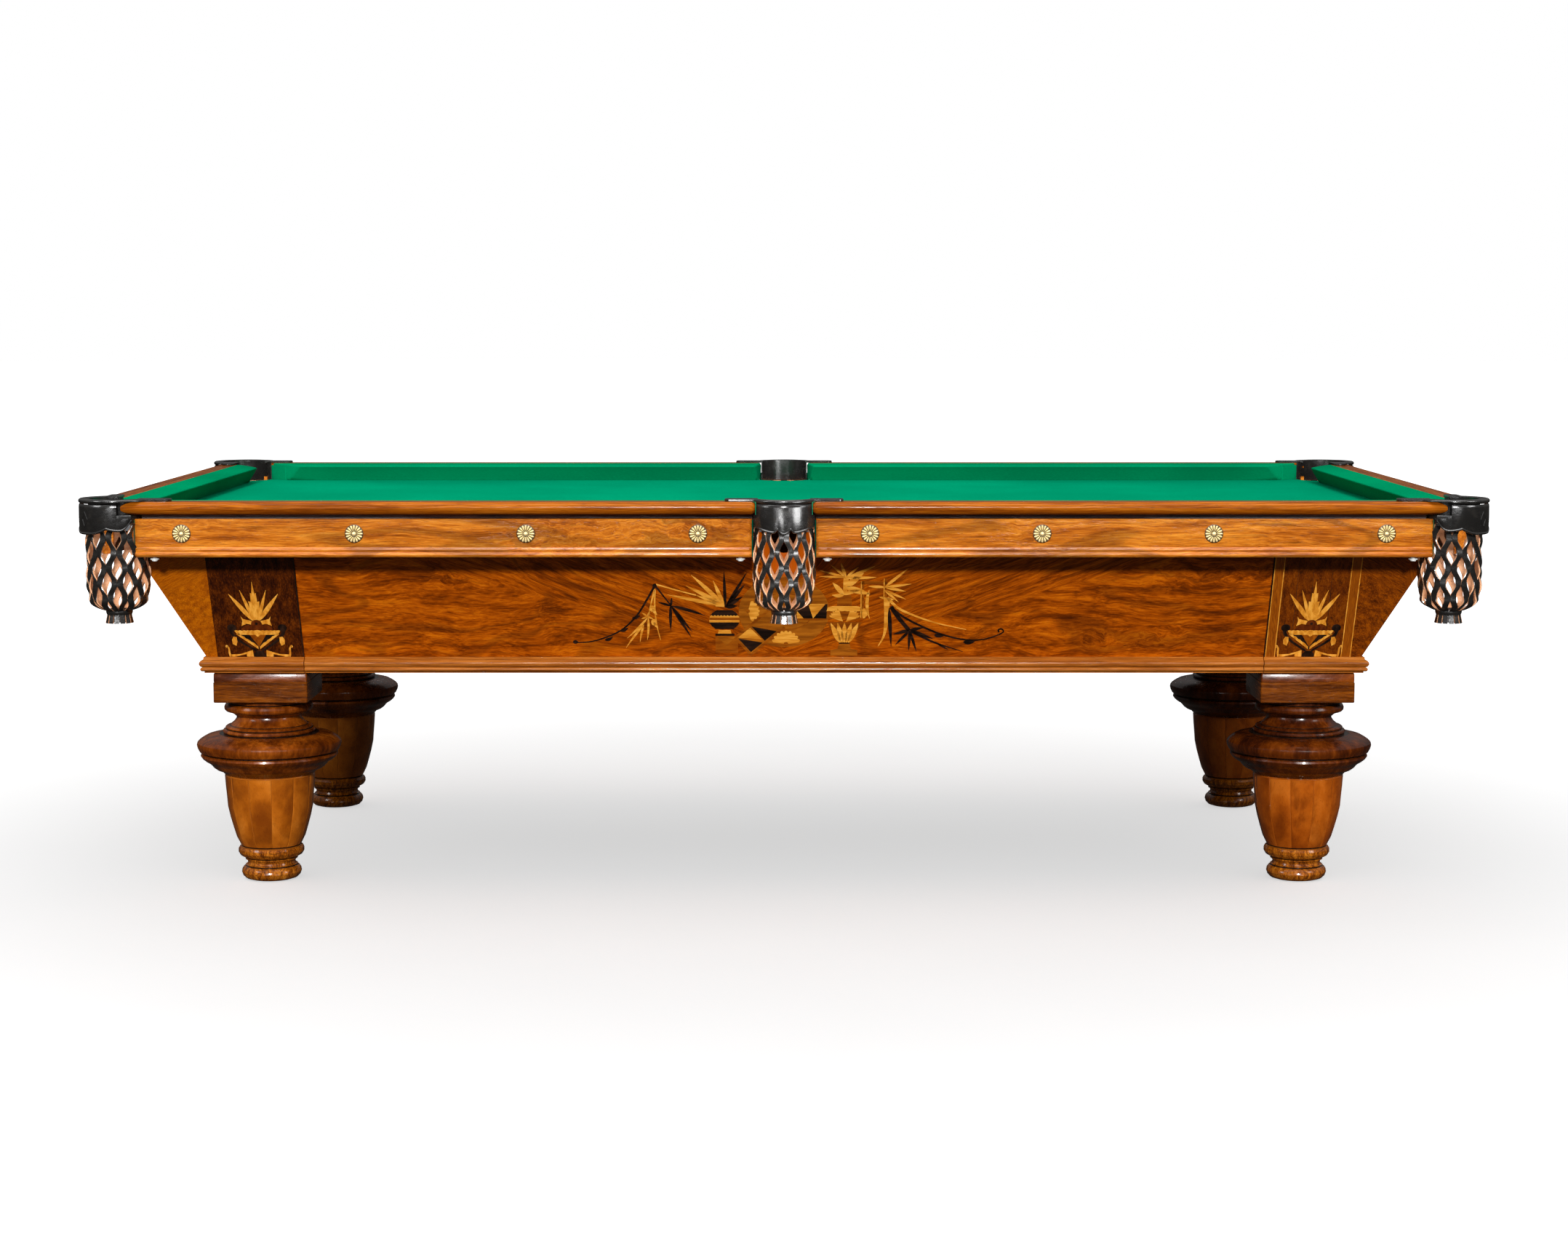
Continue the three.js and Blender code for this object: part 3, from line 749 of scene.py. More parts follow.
class Marquetry:
    """Thin veneers let into a flared face, each standing a little proud of it."""

    def __init__(self, reach, upright=False):
        self.reach = reach
        self.upright = upright
        self.form = Form()
        self.looks = []

    def set(self, look, outline, level=1):
        if look not in self.looks:
            self.looks.append(look)
        rows = []
        for proud in (-0.3, 0.22 * level):
            row = []
            for along, up in outline:
                out = self.reach + FLARE * (up - MOULDING_TOP) + proud
                row.append(side_point(along, out, up))
            rows.append(row)
        points, faces = loft(rows)
        shade = 37 * len(self.form.points)
        grain = [(z + shade, x, y) if self.upright else (x + shade, y, z) for x, y, z in points]
        self.form.add(points, faces, self.looks.index(look), grain)

    def mirrored(self, look, outline, level, middle):
        self.set(look, outline, level)
        self.set(look, [(2 * middle - along, up) for along, up in outline][::-1], level)

    def strip(self, look, left, right, low, high, level):
        self.set(look, [(left, low), (right, low), (right, high), (left, high)], level)

    def leaves(self, look, root, tips, width, level=2, bend=0.0):
        for tip in tips:
            self.set(look, leaf(root, tip, width, bend), level)


PILASTER_FROM, PILASTER_TO = 23, 198


def pilaster(corner, side_on):
    """The rosewood strip on a corner post, with its bands, stringing and fountain motif."""
    sx, sy, turn = CORNERS[corner]
    work = Marquetry(0, upright=True)
    left, right = PILASTER_FROM, PILASTER_TO
    middle = (left + right) / 2
    half = (right - left) / 2
    bottom, top = MOULDING_TOP, POST_TOP

    def both(look, outline, level):
        work.mirrored(look, [(middle + x, z) for x, z in outline], level, middle)

    def whole(look, half_outline, level):
        """An outline that is the same on both sides of the middle line."""
        right_half = [(middle + x, z) for x, z in half_outline]
        work.set(look, right_half + [(2 * middle - x, z) for x, z in right_half[::-1]], level)

    ground = "red_rosewood" if "right" in corner else "rosewood"
    work.strip(ground, left, right, bottom, top, 1)
    # A black strip along the post's edge by the recessed panel: painted shadow in the gap between
    # them.
    work.strip("black", right, POST_REACH, bottom, top, 1)
    if "right" in corner:
        for x in (-31, 7, 38):
            work.set("black", leaf((middle + x, 484), (middle + x + 1.5, 706), 0.9, 1.2), 1.3)
    if corner != "front_left":
        for look, far, near in (("light", half, half - 1.6), ("orange", half - 1.6, half - 18.5),
                                ("light", half - 18.5, half - 20.3)):
            both(look, [(-far, bottom), (-near, bottom), (-near, top), (-far, top)], 2)

    both("light", leaf((6, 556), (50, 614), 9.5), 2)
    both("light", leaf((4, 556), (26.5, 622), 7), 2)
    whole("light", [(6, 556), (13, 572), (9.5, 581), (11, 598), (6.5, 597), (6.2, 616), (3, 615),
                    (0.3, 640)], 3)
    both("light", [(30.5, 566), (26, 560), (9, 556), (7, 547), (20, 550), (31, 545), (28, 556)], 3)
    whole("brown", [(0, 533), (34, 536), (27, 544), (14, 549), (0, 549)], 2)
    whole("brown", arc((0, 547), 11.5, 0, 86, 7), 4)
    work.set("black", disc((middle, 550), 3, 10), 5)
    wave = [(47 - 4 * i, 535 + 0.9 * (i % 2)) for i in range(12)]
    whole("light", [(0, 526), (41, 526), *wave, (0, 536.4)], 4)
    serration = [(5.5 + 4.6 * i, 504 + 3.3 * i + 1.7 * (i % 2)) for i in range(8)]
    both("light", [(44, 527), (1.5, 494.5), (1.5, 500), *serration], 4)
    whole("black", [(0, 494), (42, 526), (0, 526)], 2)
    whole("orange", [(0, 500), (17, 526), (0, 526)], 3)
    work.set("light", [(middle - 7, 527), (middle, 521.5), (middle + 7, 527)], 5)
    both("black", disc((51.5, 541), 9.4, 14, 0.85), 3)
    both("black", ribbon([(54, 538), (50, 526), (37, 512), (6, 491)], 8, 4), 2)
    both("light", [(43.5, 521), (50, 522), (54, 515), (53, 506), (46, 502), (43, 511)], 4)
    both("light", ribbon([(66.5, 500), (62.5, 497), (62, 486), (60, 478.4)], 2.6, 4.6), 3)
    both("light", disc((66, 500.6), 3, 10), 3)
    both("light", [(61, 478.3), (60, 483), (40, 484), (14, 492.5), (13, 478.3), (27, 478.3),
                   (27.5, 484), (44, 480), (50, 478.3)], 3)
    whole("black", [(0, 478.3), (12.6, 478.3), (12.6, 484), (6, 491), (0, 491)], 3)
    if side_on:
        work.form.points = [(y, x, z) for x, y, z in work.form.points]
    work.form.turned(turn, (sx * BODY_X, sy * BODY_Y))
    place = "end" if side_on else "side"
    add_piece(f"pilaster_{corner}_{place}", work.form, work.looks, smooth=20)


def left_branch(work):
    """A black bough with a ball at its end, a drooping light spray and a black star."""
    black, light = "black", "light"
    work.set(black, ribbon([(-424, 508), (-384, 513), (-334, 534), (-300, 566), (-276, 604),
                            (-261, 631)], 2.2, 4.6), 3)
    work.set(black, disc((-426, 510), 5.2, 12, 0.8), 3)
    for x, z in ((-358, 519), (-326, 539), (-301, 566)):
        work.set(black, leaf((x - 8, z - 5), (x + 9, z + 2), 7, -1.5), 3)
    work.set(black, disc((-261, 631), 4.6, 10), 4)
    work.set(black, ribbon([(-259, 630), (-243, 608), (-229, 589)], 3.6, 2.6), 3)
    work.leaves(black, (-229, 588), [(-255, 596), (-227, 606)], 5, 3)
    work.leaves(black, (-230, 590), [(-231, 535), (-187, 532), (-189, 520)], 6.5, 3)
    work.leaves(black, (-228, 588), [(-160, 567)], 7, 3, 1.5)
    work.set(light, ribbon([(-261, 624), (-268, 598), (-275, 566)], 3.6, 2.4), 2)
    work.leaves(light, (-277, 565), [(-272, 578), (-288, 573), (-266, 560), (-290, 560)], 4, 2)
    work.leaves(light, (-276, 564), [(-320, 518), (-279, 514)], 5, 2, 1.5)
    work.leaves(light, (-285, 548), [(-323, 497), (-294, 510)], 4.6, 2, -1)
    work.set(light, ribbon([(-261, 622), (-262, 585), (-259, 548), (-252, 514)], 4, 1.6), 2)
    for x, z in ((-267, 582), (-265, 553)):
        work.set(light, disc((x, z), 5.2, 10, 1.4), 3)
        work.set(light, leaf((x, z), (x + 9, z - 14), 6), 3)
    work.set(light, ribbon([(-258, 634), (-218, 622), (-178, 611)], 3.2, 2.4), 2)


def left_urn(work):
    """A round urn of pale and black bands, with palm leaves above and a plinth below."""
    black, light = "black", "light"
    middle, belly = -121, 558
    root = (middle, 588)
    work.leaves(light, root, [(-187, 654), (-198, 631)], 9, 2, -1)
    work.leaves(light, root, [(-236, 612), (-143, 642), (-178, 611)], 8, 2)
    work.set(light, [(middle, 586), (-139, 587), (-137, 596), (middle, 597)], 3)
    work.leaves(black, (-119, 584), [(middle, 664), (-74, 661)], 6.5, 3)
    work.leaves(black, (-119, 586), [(-79, 634), (-84, 608), (-95, 588)], 9, 3)

    def banded(look, low, high, level, wave=0.0):
        """A band of the urn between two heights, following its round sides."""
        rows = [low + (high - low) * i / 6 for i in range(7)]
        reach = [31 * max(0.05, 1 - ((z - belly) / 24.5) ** 2) ** 0.5 for z in rows]
        right = [(middle + r, z) for r, z in zip(reach, rows)]
        left = [(middle - r, z) for r, z in zip(reach, rows)][::-1]
        top = []
        if wave:
            top = [(middle + reach[-1] * (1 - 2 * i / 18), high + wave * (i % 2))
                   for i in range(1, 18)]
        work.set(look, right + top + left, level)

    banded(black, 538, 579, 3)
    banded(light, 553, 566, 4, 2)
    banded("orange", 557.5, 563, 5)
    banded(light, 552.5, 555.5, 5)
    work.set(light, [(-133, 536), (-109, 536), (-107, 528), (-135, 528)], 3)
    work.strip(black, -140, -101, 523.5, 528, 4)
    work.strip("orange", -140, -94, 486, 523, 2)
    work.set("golden", [(-138, 522), (-98, 522), (-117, 502)], 3)


def ring_and_band(work):
    """A pale ring with two fans, crossed by a framed band of triangles."""
    middle = (0, 575)
    work.set("golden", disc(middle, 92, 48, 0.83), 1.4)
    work.set("orange", disc(middle, 59, 36, 0.69), 1.8)
    work.set("golden", disc(middle, 57, 36, 0.68), 2)
    work.set("light", fan((-73, 577), 24, -75, 75, 7), 3)
    work.set("orange", disc((-73, 577), 4, 10), 4)
    work.set("light", fan((4, 505), 30, 8, 172, 9), 3)
    work.set("orange", disc((4, 505), 5, 10), 4)
    run = Vector((0.755, 0.656))

    def slanted(look, outline, level):
        work.set(look, [(-84 + run.x * u - run.y * v, 500 + run.y * u + run.x * v)
                        for u, v in outline], level)

    far = 92
    slanted("orange", [(-2, -27), (far, -27), (far, 27), (-2, 27)], 2.4)
    slanted("golden", [(3, -22), (far, -22), (far, 22), (3, 22)], 2.8)
    slanted("black", [(4, 20), (4, -20), (36, -20)], 3.2)
    slanted("light", [(6, 21), (38, 21), (40, -14)], 3.2)
    slanted("black", [(42, 21), (42, -20), (74, -20)], 3.2)
    work.set("black", [(22, 592), (88, 592), (86, 561), (24, 561)], 2.4)
    work.set("light", [(49, 592), (84, 592), (59, 561)], 3)
    work.set("light", [(24, 580), (40, 561), (24, 561)], 3)
    work.strip("orange", 20, 88, 557, 561, 3.2)


def right_urn(work):
    """A fluted cup with two fans on a square base, and light leaves above it."""
    cup, light = 123, "light"

    def centred(look, half_outline, level):
        """An outline given for its right half, from its foot to its rim."""
        left_half = [(cup - x, z) for x, z in half_outline[::-1]]
        work.set(look, [(cup + x, z) for x, z in half_outline] + left_half, level)

    work.set("golden", [(cup - 28, 480), (cup + 27, 480), (cup + 27, 492), (cup + 14, 495),
                        (cup + 10, 507), (cup - 10, 507), (cup - 14, 495), (cup - 28, 492)], 2)
    work.strip("black", cup - 11, cup + 11, 506, 508.5, 4)
    centred("orange", [(11, 508), (36, 553)], 2)
    for i in range(5):
        away = i - 2
        work.set(light, leaf((cup + away * 4, 508), (cup + away * 14, 551), 12), 3)
    work.set(light, fan((cup + 3, 554), 31, 20, 72, 5), 4)
    work.set(light, fan((cup - 3, 554), 31, 108, 160, 5), 4)
    centred("orange", [(33, 560), (36, 577)], 2)
    rim_line = [(cup + 37 - 74 * i / 14, 576.4 + 0.9 * (i % 2)) for i in range(15)]
    work.set(light, [*rim_line, (cup - 34, 585), (cup - 24, 587.5), (cup + 24, 587.5),
                     (cup + 34, 585)], 3)
    work.set("orange", [(107, 588), (138, 588), (136, 611), (109, 611)], 2)
    work.leaves(light, (122, 612), [(97, 611), (154, 622)], 8, 3, 1.5)
    work.leaves(light, (121, 612), [(98, 638)], 10, 3)
    work.leaves(light, (125, 649), [(71, 664), (71, 651), (93, 676), (150, 671)], 4.6, 3)
    work.leaves(light, (125, 647), [(114, 680), (184, 673), (186, 649)], 6.5, 3)
    work.leaves(light, (124, 628), [(160, 658), (174, 613)], 13, 3)
    work.set(light, [(119, 611), (127, 611), (131, 650), (120, 652)], 2)


def second_palm(work):
    """A light frame beside the urn, with a palm that grows over it."""
    light = "light"
    for x0, x1, z0, z1 in ((156, 162, 562, 641), (156, 208, 634, 641), (202, 208, 606, 646)):
        work.strip("orange", x0, x1, z0, z1, 2)
        work.strip(light, x0 - 1, x0 + 1, z0, z1, 3)
    work.set(light, fan((158, 572), 12, -80, 80, 4), 3)
    work.leaves(light, (203, 628), [(250, 668), (257, 635), (170, 630), (246, 619)], 6, 3)
    work.leaves(light, (203, 622), [(247, 602), (232, 596)], 5, 3)
    work.set(light, leaf((172, 622), (174, 560), 7, -5), 3)
    work.leaves(light, (208, 604), [(192, 607), (222, 601)], 5, 3)
    work.set(light, ribbon([(208, 606), (208, 560), (204, 525), (192, 500)], 13, 1), 3)


def right_branch(work):
    """A light bough over a black one that curls at its end, and a black spray."""
    black = "black"
    work.set("light", ribbon([(209, 606), (232, 583), (270, 565), (314, 550), (371, 537)],
                             6.5, 1.2), 3)
    work.set(black, ribbon([(216, 586), (248, 561), (302, 534), (340, 521), (378, 514),
                            (414, 517), (440, 527)], 4.6, 2.4), 4)
    work.set(black, ribbon([(440, 527), (447, 532), (444, 538), (437, 537), (438, 531)],
                           2.6, 3.4), 4)
    for x, z in ((318, 527), (378, 512)):
        work.set(black, leaf((x - 12, z - 2), (x + 12, z - 1), 9, -1.5), 4)
    work.set(black, ribbon([(217, 586), (234, 561), (255, 535)], 9, 8), 4)
    work.leaves(black, (256, 536), [(223, 527), (283, 541), (304, 517)], 7, 4)
    work.leaves(black, (256, 535), [(227, 503), (255, 491), (271, 489)], 6, 4)
    work.set(black, ribbon([(258, 534), (300, 512), (332, 500), (366, 489)], 6, 1), 4)
    work.leaves(black, (312, 507), [(336, 493)], 4, 4)
    work.leaves(black, (213, 584), [(219, 500)], 8, 4)


def centre_marquetry(side):
    """Two urns of palm leaves beside a ring, with branches that sweep to both sides."""
    work = Marquetry(BODY_Y - PANEL_RECESS)
    for part in (left_branch, left_urn, ring_and_band, right_urn, second_palm, right_branch):
        part(work)
    work.form.turned(SIDES[side])
    add_piece(f"marquetry_{side}", work.form, work.looks, smooth=20)


# ---- Rails, cushions and aprons ----

CAP_BOTTOM = RAIL_TOP - CAP_THICKNESS
CAP_RADIUS = CAP_THICKNESS / 2
SUB_RAIL_FRONT = 74.7
POCKET_OFFSET = 56
SIDE_MOUTH = 70
SIDE_CUT = 14 / 62


def cushion_ends(nose_half, middle):
    def corner(out):
        return nose_half - 88 + 79 / 62 * out

    def near(out):
        return SIDE_MOUTH - SIDE_CUT * out if middle else -corner(out)

    return near, corner


def rail_ends(nose_half, middle):
    centre = nose_half + POCKET_OFFSET

    def corner(out):
        end = nose_half + 43 - 1.33 * max(0, RAIL_WIDTH - CAP_RADIUS - out)
        drop = (POCKET_BORE + GAP) ** 2 - (out - POCKET_OFFSET) ** 2
        return min(end, centre - sqrt(drop)) if drop > 0 else end

    def near(out):
        if not middle:
            return -corner(out)
        return SIDE_MOUTH - (SIDE_MOUTH - 56.8) / CUSHION_WIDTH * min(out, CUSHION_WIDTH)

    return near, corner


def apron_ends(nose_half, middle):
    def corner(out):
        return nose_half + 13

    def near(out):
        return 63.5 if middle else -corner(out)

    return near, corner


def bar(profile, ends, nose_line, hand, pull=None, radius=0.0, between=10):
    """A bar along a side, from its near end to its far end, with rounded ends."""
    near, far = ends
    turns = [radius and i * pi / 10 for i in range(5)] if radius else []
    inward = [(radius * (1 - cos(a)), radius * (1 - sin(a))) for a in turns]
    stations = [(0, d, inset) for d, inset in inward]
    stations += [(i / between, 0, 0) for i in range(between + 1)] if not radius else [
        (0, radius, 0)] + [(i / between, 0, 0) for i in range(1, between)] + [(1, -radius, 0)]
    stations += [(1, -d, inset) for d, inset in reversed(inward)]
    rows = []
    for share, trim, inset in stations:
        row = []
        for point in profile:
            out, up = pull(point, inset) if pull and inset else point
            start, end = near(out), far(out)
            along = start + (end - start) * share + trim
            row.append(side_point(hand * along, nose_line + out, up))
        rows.append(row)
    return loft(rows)


def bar_piece(name, parts, looks, stands_for, side, smooth=35):
    """Joins lofted parts into one piece of a side. parts are (points, faces, mark)."""
    form = Form()
    shift = 1700 * SIDES[side] + 911 * len(name)
    for (points, faces), mark in parts:
        form.add(points, faces, mark, [(x + shift, -y, z) for x, y, z in points])
    form.turned(SIDES[side])
    return add_piece(name, form, looks, stands_for, smooth)


def rail(name, side, nose_half, nose_line, middle, hand):
    """The polished cap with its round nose, and the rail under it."""
    ends = rail_ends(nose_half, middle)
    inner = CUSHION_WIDTH + GAP
    centre_up = (CAP_BOTTOM + RAIL_TOP) / 2
    nose = RAIL_WIDTH - CAP_RADIUS
    cap = [(inner, CAP_BOTTOM), (SUB_RAIL_FRONT + 2, CAP_BOTTOM)]
    cap += arc((nose, centre_up), CAP_RADIUS, -90, 90, 14)
    cap += [(inner + 1, RAIL_TOP), (inner, RAIL_TOP - 1)]

    def pull(point, inset):
        out, up = point
        share = inset / CAP_RADIUS
        return out + (min(out, nose) - out) * share, up + (centre_up - up) * share

    low = CUSHION_WIDTH / 2 + 1
    base = BED_TOP + GAP
    under = [(low, base), (SUB_RAIL_FRONT, base), (SUB_RAIL_FRONT, CAP_BOTTOM - 0.1),
             (inner - 0.2, CAP_BOTTOM - 0.1), (inner - 0.2, RAIL_TOP - 4.8), (low, RAIL_TOP - 4.8)]
    core = bar(under, ends, nose_line, hand)
    jaws = [1, 1, 1, 1, 1, 2] * ((len(core[1]) - 2) // 6) + [2, 2]
    parts = [(bar(cap, ends, nose_line, hand, pull, 9), 0), (core, jaws)]
    bar_piece(f"polished_rail_{name}", parts, ["cap", "rosewood", "cushion"],
              [f"rail_{name}"], side)


def cushion(name, side, nose_half, nose_line, middle, hand):
    """Rubber under cloth: a flat top, a rounded nose and an undercut face."""
    nose = BED_TOP + 36
    back = CUSHION_WIDTH - GAP
    foot = CUSHION_WIDTH / 2 + 0.7
    profile = [(foot - 7, BED_TOP + GAP), (20, BED_TOP + 8), (9, BED_TOP + 22), (2.6, nose - 4.6),
               (0.5, nose - 2.6), (0, nose - 1), (0.7, nose + 0.2), (3, nose + 0.9),
               (14, nose + 2), (30, nose + 3.2), (46, nose + 3.9), (back - 4, RAIL_TOP - 0.1),
               (back - 0.8, RAIL_TOP - 0.2), (back, RAIL_TOP - 1.4), (back, RAIL_TOP - 4.2),
               (foot, RAIL_TOP - 4.2), (foot, BED_TOP + GAP)]
    heart = (30, nose - 8)

    def pull(point, inset):
        share = inset / 16
        return tuple(value + (middle_value - value) * share
                     for value, middle_value in zip(point, heart))

    part = bar(profile, cushion_ends(nose_half, middle), nose_line, hand, pull, 5, 14)
    piece = bar_piece(f"cloth_cushion_{name}", [(part, 0)], ["cushion"],
                      [f"cushion_{name}"], side, smooth=50)


def apron(name, side, nose_half, nose_line, middle, hand):
    """The veneered board under the rail: bead lines, a rounded foot and rounded ends."""
    back = SUB_RAIL_FRONT + GAP
    face = RAIL_WIDTH - 12
    base = APRON_BOTTOM
    profile = [(back, base)] + arc((face - 2, base + 6.2), 6, -80, 62, 8)
    profile += [(face + 1.4, base + 12.6), (face + 1.6, base + 13.6)]
    profile += [(face + 1.2, base + 14.2), (face + 1.8, base + 15), (face + 1.8, base + 18.6),
                (face + 1.2, base + 19.6), (face + 0.3, base + 19.8), (face - 0.3, base + 20.6),
                (face, base + 21.6), (face, APRON_TOP - 1.2), (face - 1.2, APRON_TOP),
                (back, APRON_TOP)]

    def pull(point, inset):
        out, up = point
        return max(back, out - inset) if out > back + 4 else out, up

    ends = apron_ends(nose_half, middle)
    near, far = ends
    parts = [(bar(profile, ends, nose_line, hand, pull, 7), 0)]
    # Thin strips of the lining cloth at the ends of a long apron, painted very dark as shade inside
    # the pocket.
    lining = [(face - 12, base + 1), (face - 7, base + 1), (face - 6.4, APRON_TOP - 2),
              (face - 12, APRON_TOP - 2)]
    spots = [(far(0), far(0) + 2), (near(0) - 2, near(0))] if middle else []
    for start, end in spots:
        rows = [[side_point(hand * x, nose_line + out, up) for out, up in lining]
                for x in (start, end)]
        parts.append((loft(rows), 1))
    bar_piece(f"veneered_apron_{name}", parts, ["apron", "shaded"],
              [f"apron_{name}"], side)


# ---- Bed cloth ----


def bed_cloth():
    """One sheet over the slates, notched at the pockets."""
    low, high = span("bed_cloth")
    radius = POCKET_CLEARANCE
    pockets = [pocket_place(f"{y}_{x}") for x, y in (
        ("left", "front"), ("middle", "front"), ("right", "front"),
        ("right", "rear"), ("middle", "rear"), ("left", "rear"))]
    edge = [(low.x, low.y), (0, low.y), (high.x, low.y), (high.x, high.y), (0, high.y),
            (low.x, high.y)]
    outline = []
    for (px, py), (ex, ey) in zip(pockets, edge):
        found = []
        for i in range(361):
            angle = math.radians(i)
            x, y = px + radius * cos(angle), py + radius * sin(angle)
            if low.x <= x <= high.x and low.y <= y <= high.y:
                found.append((i, x, y))
        middle_angle = math.degrees(math.atan2(-py, -px if abs(px) > 1 else 0)) % 360
        found.sort(key=lambda item: -((item[0] - middle_angle + 180) % 360))
        outline += [(x, y) for i, x, y in found[::4]]
    form = Form()
    top = [(x, y, BED_TOP) for x, y in outline]
    bottom = [(x, y, BED_TOP - 1.2) for x, y in outline]
    form.add(*loft([bottom, top]))
    piece = add_piece("bed_baize", form, ["bed"], ["bed_cloth"], smooth=60)


# ---- Pockets: the iron with its leather shield, and the net ----

IRON_BOTTOM, IRON_TOP = RAIL_TOP + GAP, RAIL_TOP + 5.3


def plate(outline_at, bottom, top):
    """A flat plate with softened edges. outline_at gives its outline for an inset."""
    rows = [[(x, y, z) for x, y in outline_at(inset)]
            for z, inset in ((bottom, 0.8), (bottom + 0.8, 0), (top - 1.2, 0), (top, 1.4))]
    return loft(rows)


def arm_outline(x0, x1, y0, y1, tip):
    """A bar in plan whose far end, at x1, narrows to a round tip."""

    def at(inset):
        sign = 1 if x1 > x0 else -1
        half = (y1 - y0) / 2 - inset
        middle = (y0 + y1) / 2
        round_start = x1 - sign * tip
        nose = [(round_start + sign * (tip - inset) * sin(a * pi / 12),
                 middle + half * cos(a * pi / 12)) for a in range(13)]
        return [(x0, middle + half), *nose, (x0, middle - half)]

    return at


def shield_edge(place, corner):
    """Height of the shield's scalloped lower edge above its lowest point."""
    if corner:
        lobe, cusp, valley, rim, end = 40, 10.5, 6.0, 24, 78
        away = abs(place)
        if away < lobe:
            return cusp * max(0, (away - 12) / (lobe - 12)) ** 2
        if away < 60:
            return valley + (cusp - valley) * ((60 - away) / 20) ** 2
        return valley + (rim - valley) * ((away - 60) / (end - 60)) ** 2
    across = abs(68 * sin(math.radians(place)))
    if across < 13:
        return 11 * (across / 13) ** 2
    if across < 22:
        return 3 + 8 * ((22 - across) / 9) ** 2
    return 3 + 14 * ((across - 22) / 44) ** 1.6


CORNER_IRON = {"corner": True, "outer": 74, "face": 225, "half_ring": 119, "half_shield": 79,
               "notch": 56.5, "half_liner": 134}
MIDDLE_IRON = {"corner": False, "outer": 68, "face": 270, "half_ring": 86, "half_shield": 64,
               "notch": 55, "half_liner": 96}
SHIELD_BOTTOM = 743.5


def places_round(half, steps, notch):
    """Angles to both sides of a pocket's face, with a close pair at each notch."""
    places = [-half + 2 * half * i / steps for i in range(steps + 1)]
    return sorted(places + [side * notch + step for side in (-1, 1) for step in (-0.2, 0.2)])


def iron_ring(shape):
    """The rounded ring. It lies on the rails, and reaches lower between them."""
    outer = shape["outer"]
    bead = [(POCKET_BORE + 0.4, IRON_BOTTOM), (POCKET_BORE + 0.4, IRON_TOP - 1),
            (POCKET_BORE + 2, IRON_TOP - 0.2), (outer - 8, IRON_TOP)]
    bead += arc((outer - 4, RAIL_TOP + 0.9), 4.8, 75, -70, 8)
    bead += [(outer - 6, RAIL_TOP - 4), (outer - 6, IRON_BOTTOM)]
    on_rail = [(r, max(z, IRON_BOTTOM)) for r, z in bead]
    return loft([stood_at(math.radians(shape["face"] + place),
                          on_rail if abs(place) > shape["notch"] else bead)
                 for place in places_round(shape["half_ring"], 44, shape["notch"])])


def iron_arms(shape):
    """The two flat arms along the rails."""
    if shape["corner"]:
        points, faces = plate(arm_outline(POCKET_BORE - 8, 114, -36, -8, 9), IRON_BOTTOM, IRON_TOP)
        return [(points, faces), ([(y, x, z) for x, y, z in points], faces)]
    return [plate(arm_outline(math.copysign(POCKET_BORE - 4, reach), reach, -32, -4, 9),
                  IRON_BOTTOM, IRON_TOP) for reach in (118, -118)]


def iron_shield(shape):
    """The leather wall under the ring: scalloped below, and notched under the rails."""
    outer = shape["outer"]
    rows = []
    for place in places_round(shape["half_shield"], 76, shape["notch"]):
        top = CAP_BOTTOM - 0.8 if abs(place) > shape["notch"] else RAIL_TOP - 4.6
        low = SHIELD_BOTTOM + shield_edge(place, shape["corner"])
        profile = [(outer - 3.6, low + 1), (outer - 1.6, low), (outer + 0.6, low + 1.2),
                   (outer + 0.9, low + 3.2), (outer - 0.5, low + 5),
                   (outer - 0.2, low + 6.5), (outer + 0.2, (low + top) / 2), (outer, top - 6),
                   (outer - 0.6, top - 1.2), (outer - 1.6, top), (outer - 3.8, top)]
        rows.append(stood_at(math.radians(shape["face"] + place), profile))
    return loft(rows)


def iron_liner(shape):
    """The leather inside the pocket's mouth. Its ends flare towards the cushions."""
    profile = [(POCKET_BORE - 0.1, IRON_TOP - 1.5), (POCKET_BORE - 0.1, 764),
               (POCKET_BORE - 1, 763), (POCKET_BORE - 2.2, 764), (POCKET_BORE - 2.4, 790),
               (POCKET_BORE - 2, IRON_TOP - 1.5)]
    rows = []
    for step in range(49):
        place = shape["half_liner"] * (step / 24 - 1)
        flare = 1.3 * max(0, abs(place) - 127)
        rows.append(stood_at(math.radians(shape["face"] + place), profile, flare))
    return loft(rows)


def lozenge(shape):
    """Four round ridges that make a plain lozenge on the shield."""
    outer = shape["outer"]
    middle_up = 774
    corners = [(0, 15), (8.5, 0), (0, -15), (-8.5, 0)]
    ridges = []
    for index, (u0, v0) in enumerate(corners):
        u1, v1 = corners[(index + 1) % 4]
        across = Vector((u1 - u0, v1 - v0)).normalized()
        rows = []
        for step in range(5):
            u, v = u0 + (u1 - u0) * step / 4, v0 + (v1 - v0) * step / 4
            angle = math.radians(shape["face"]) + u / outer
            ring = []
            for a in range(6):
                side_step = 1.3 * cos(a * pi / 3)
                r = outer + 0.1 + 1.1 * sin(a * pi / 3)
                spot = angle - side_step * across.y / outer
                ring.append((r * cos(spot), r * sin(spot), middle_up + v + side_step * across.x))
            rows.append(ring)
        ridges.append(loft(rows))
    return ridges


def pocket_iron(name):
    x, y = pocket_place(name)
    shape = MIDDLE_IRON if "middle" in name else CORNER_IRON
    turn = CORNERS[name][2] if shape["corner"] else (0 if y < 0 else pi)
    form = Form()
    for part in (iron_ring(shape), *iron_arms(shape), iron_shield(shape), iron_liner(shape),
                 *lozenge(shape)):
        form.add(*part)
    form.turned(turn, (x, y))
    add_piece(f"leather_iron_{name}", form, ["iron"], [f"pocket_iron_{name}"],
              smooth=38)


NET_TOP, NECK = 765.5, 588.0
HALF_WAVE = 30.0


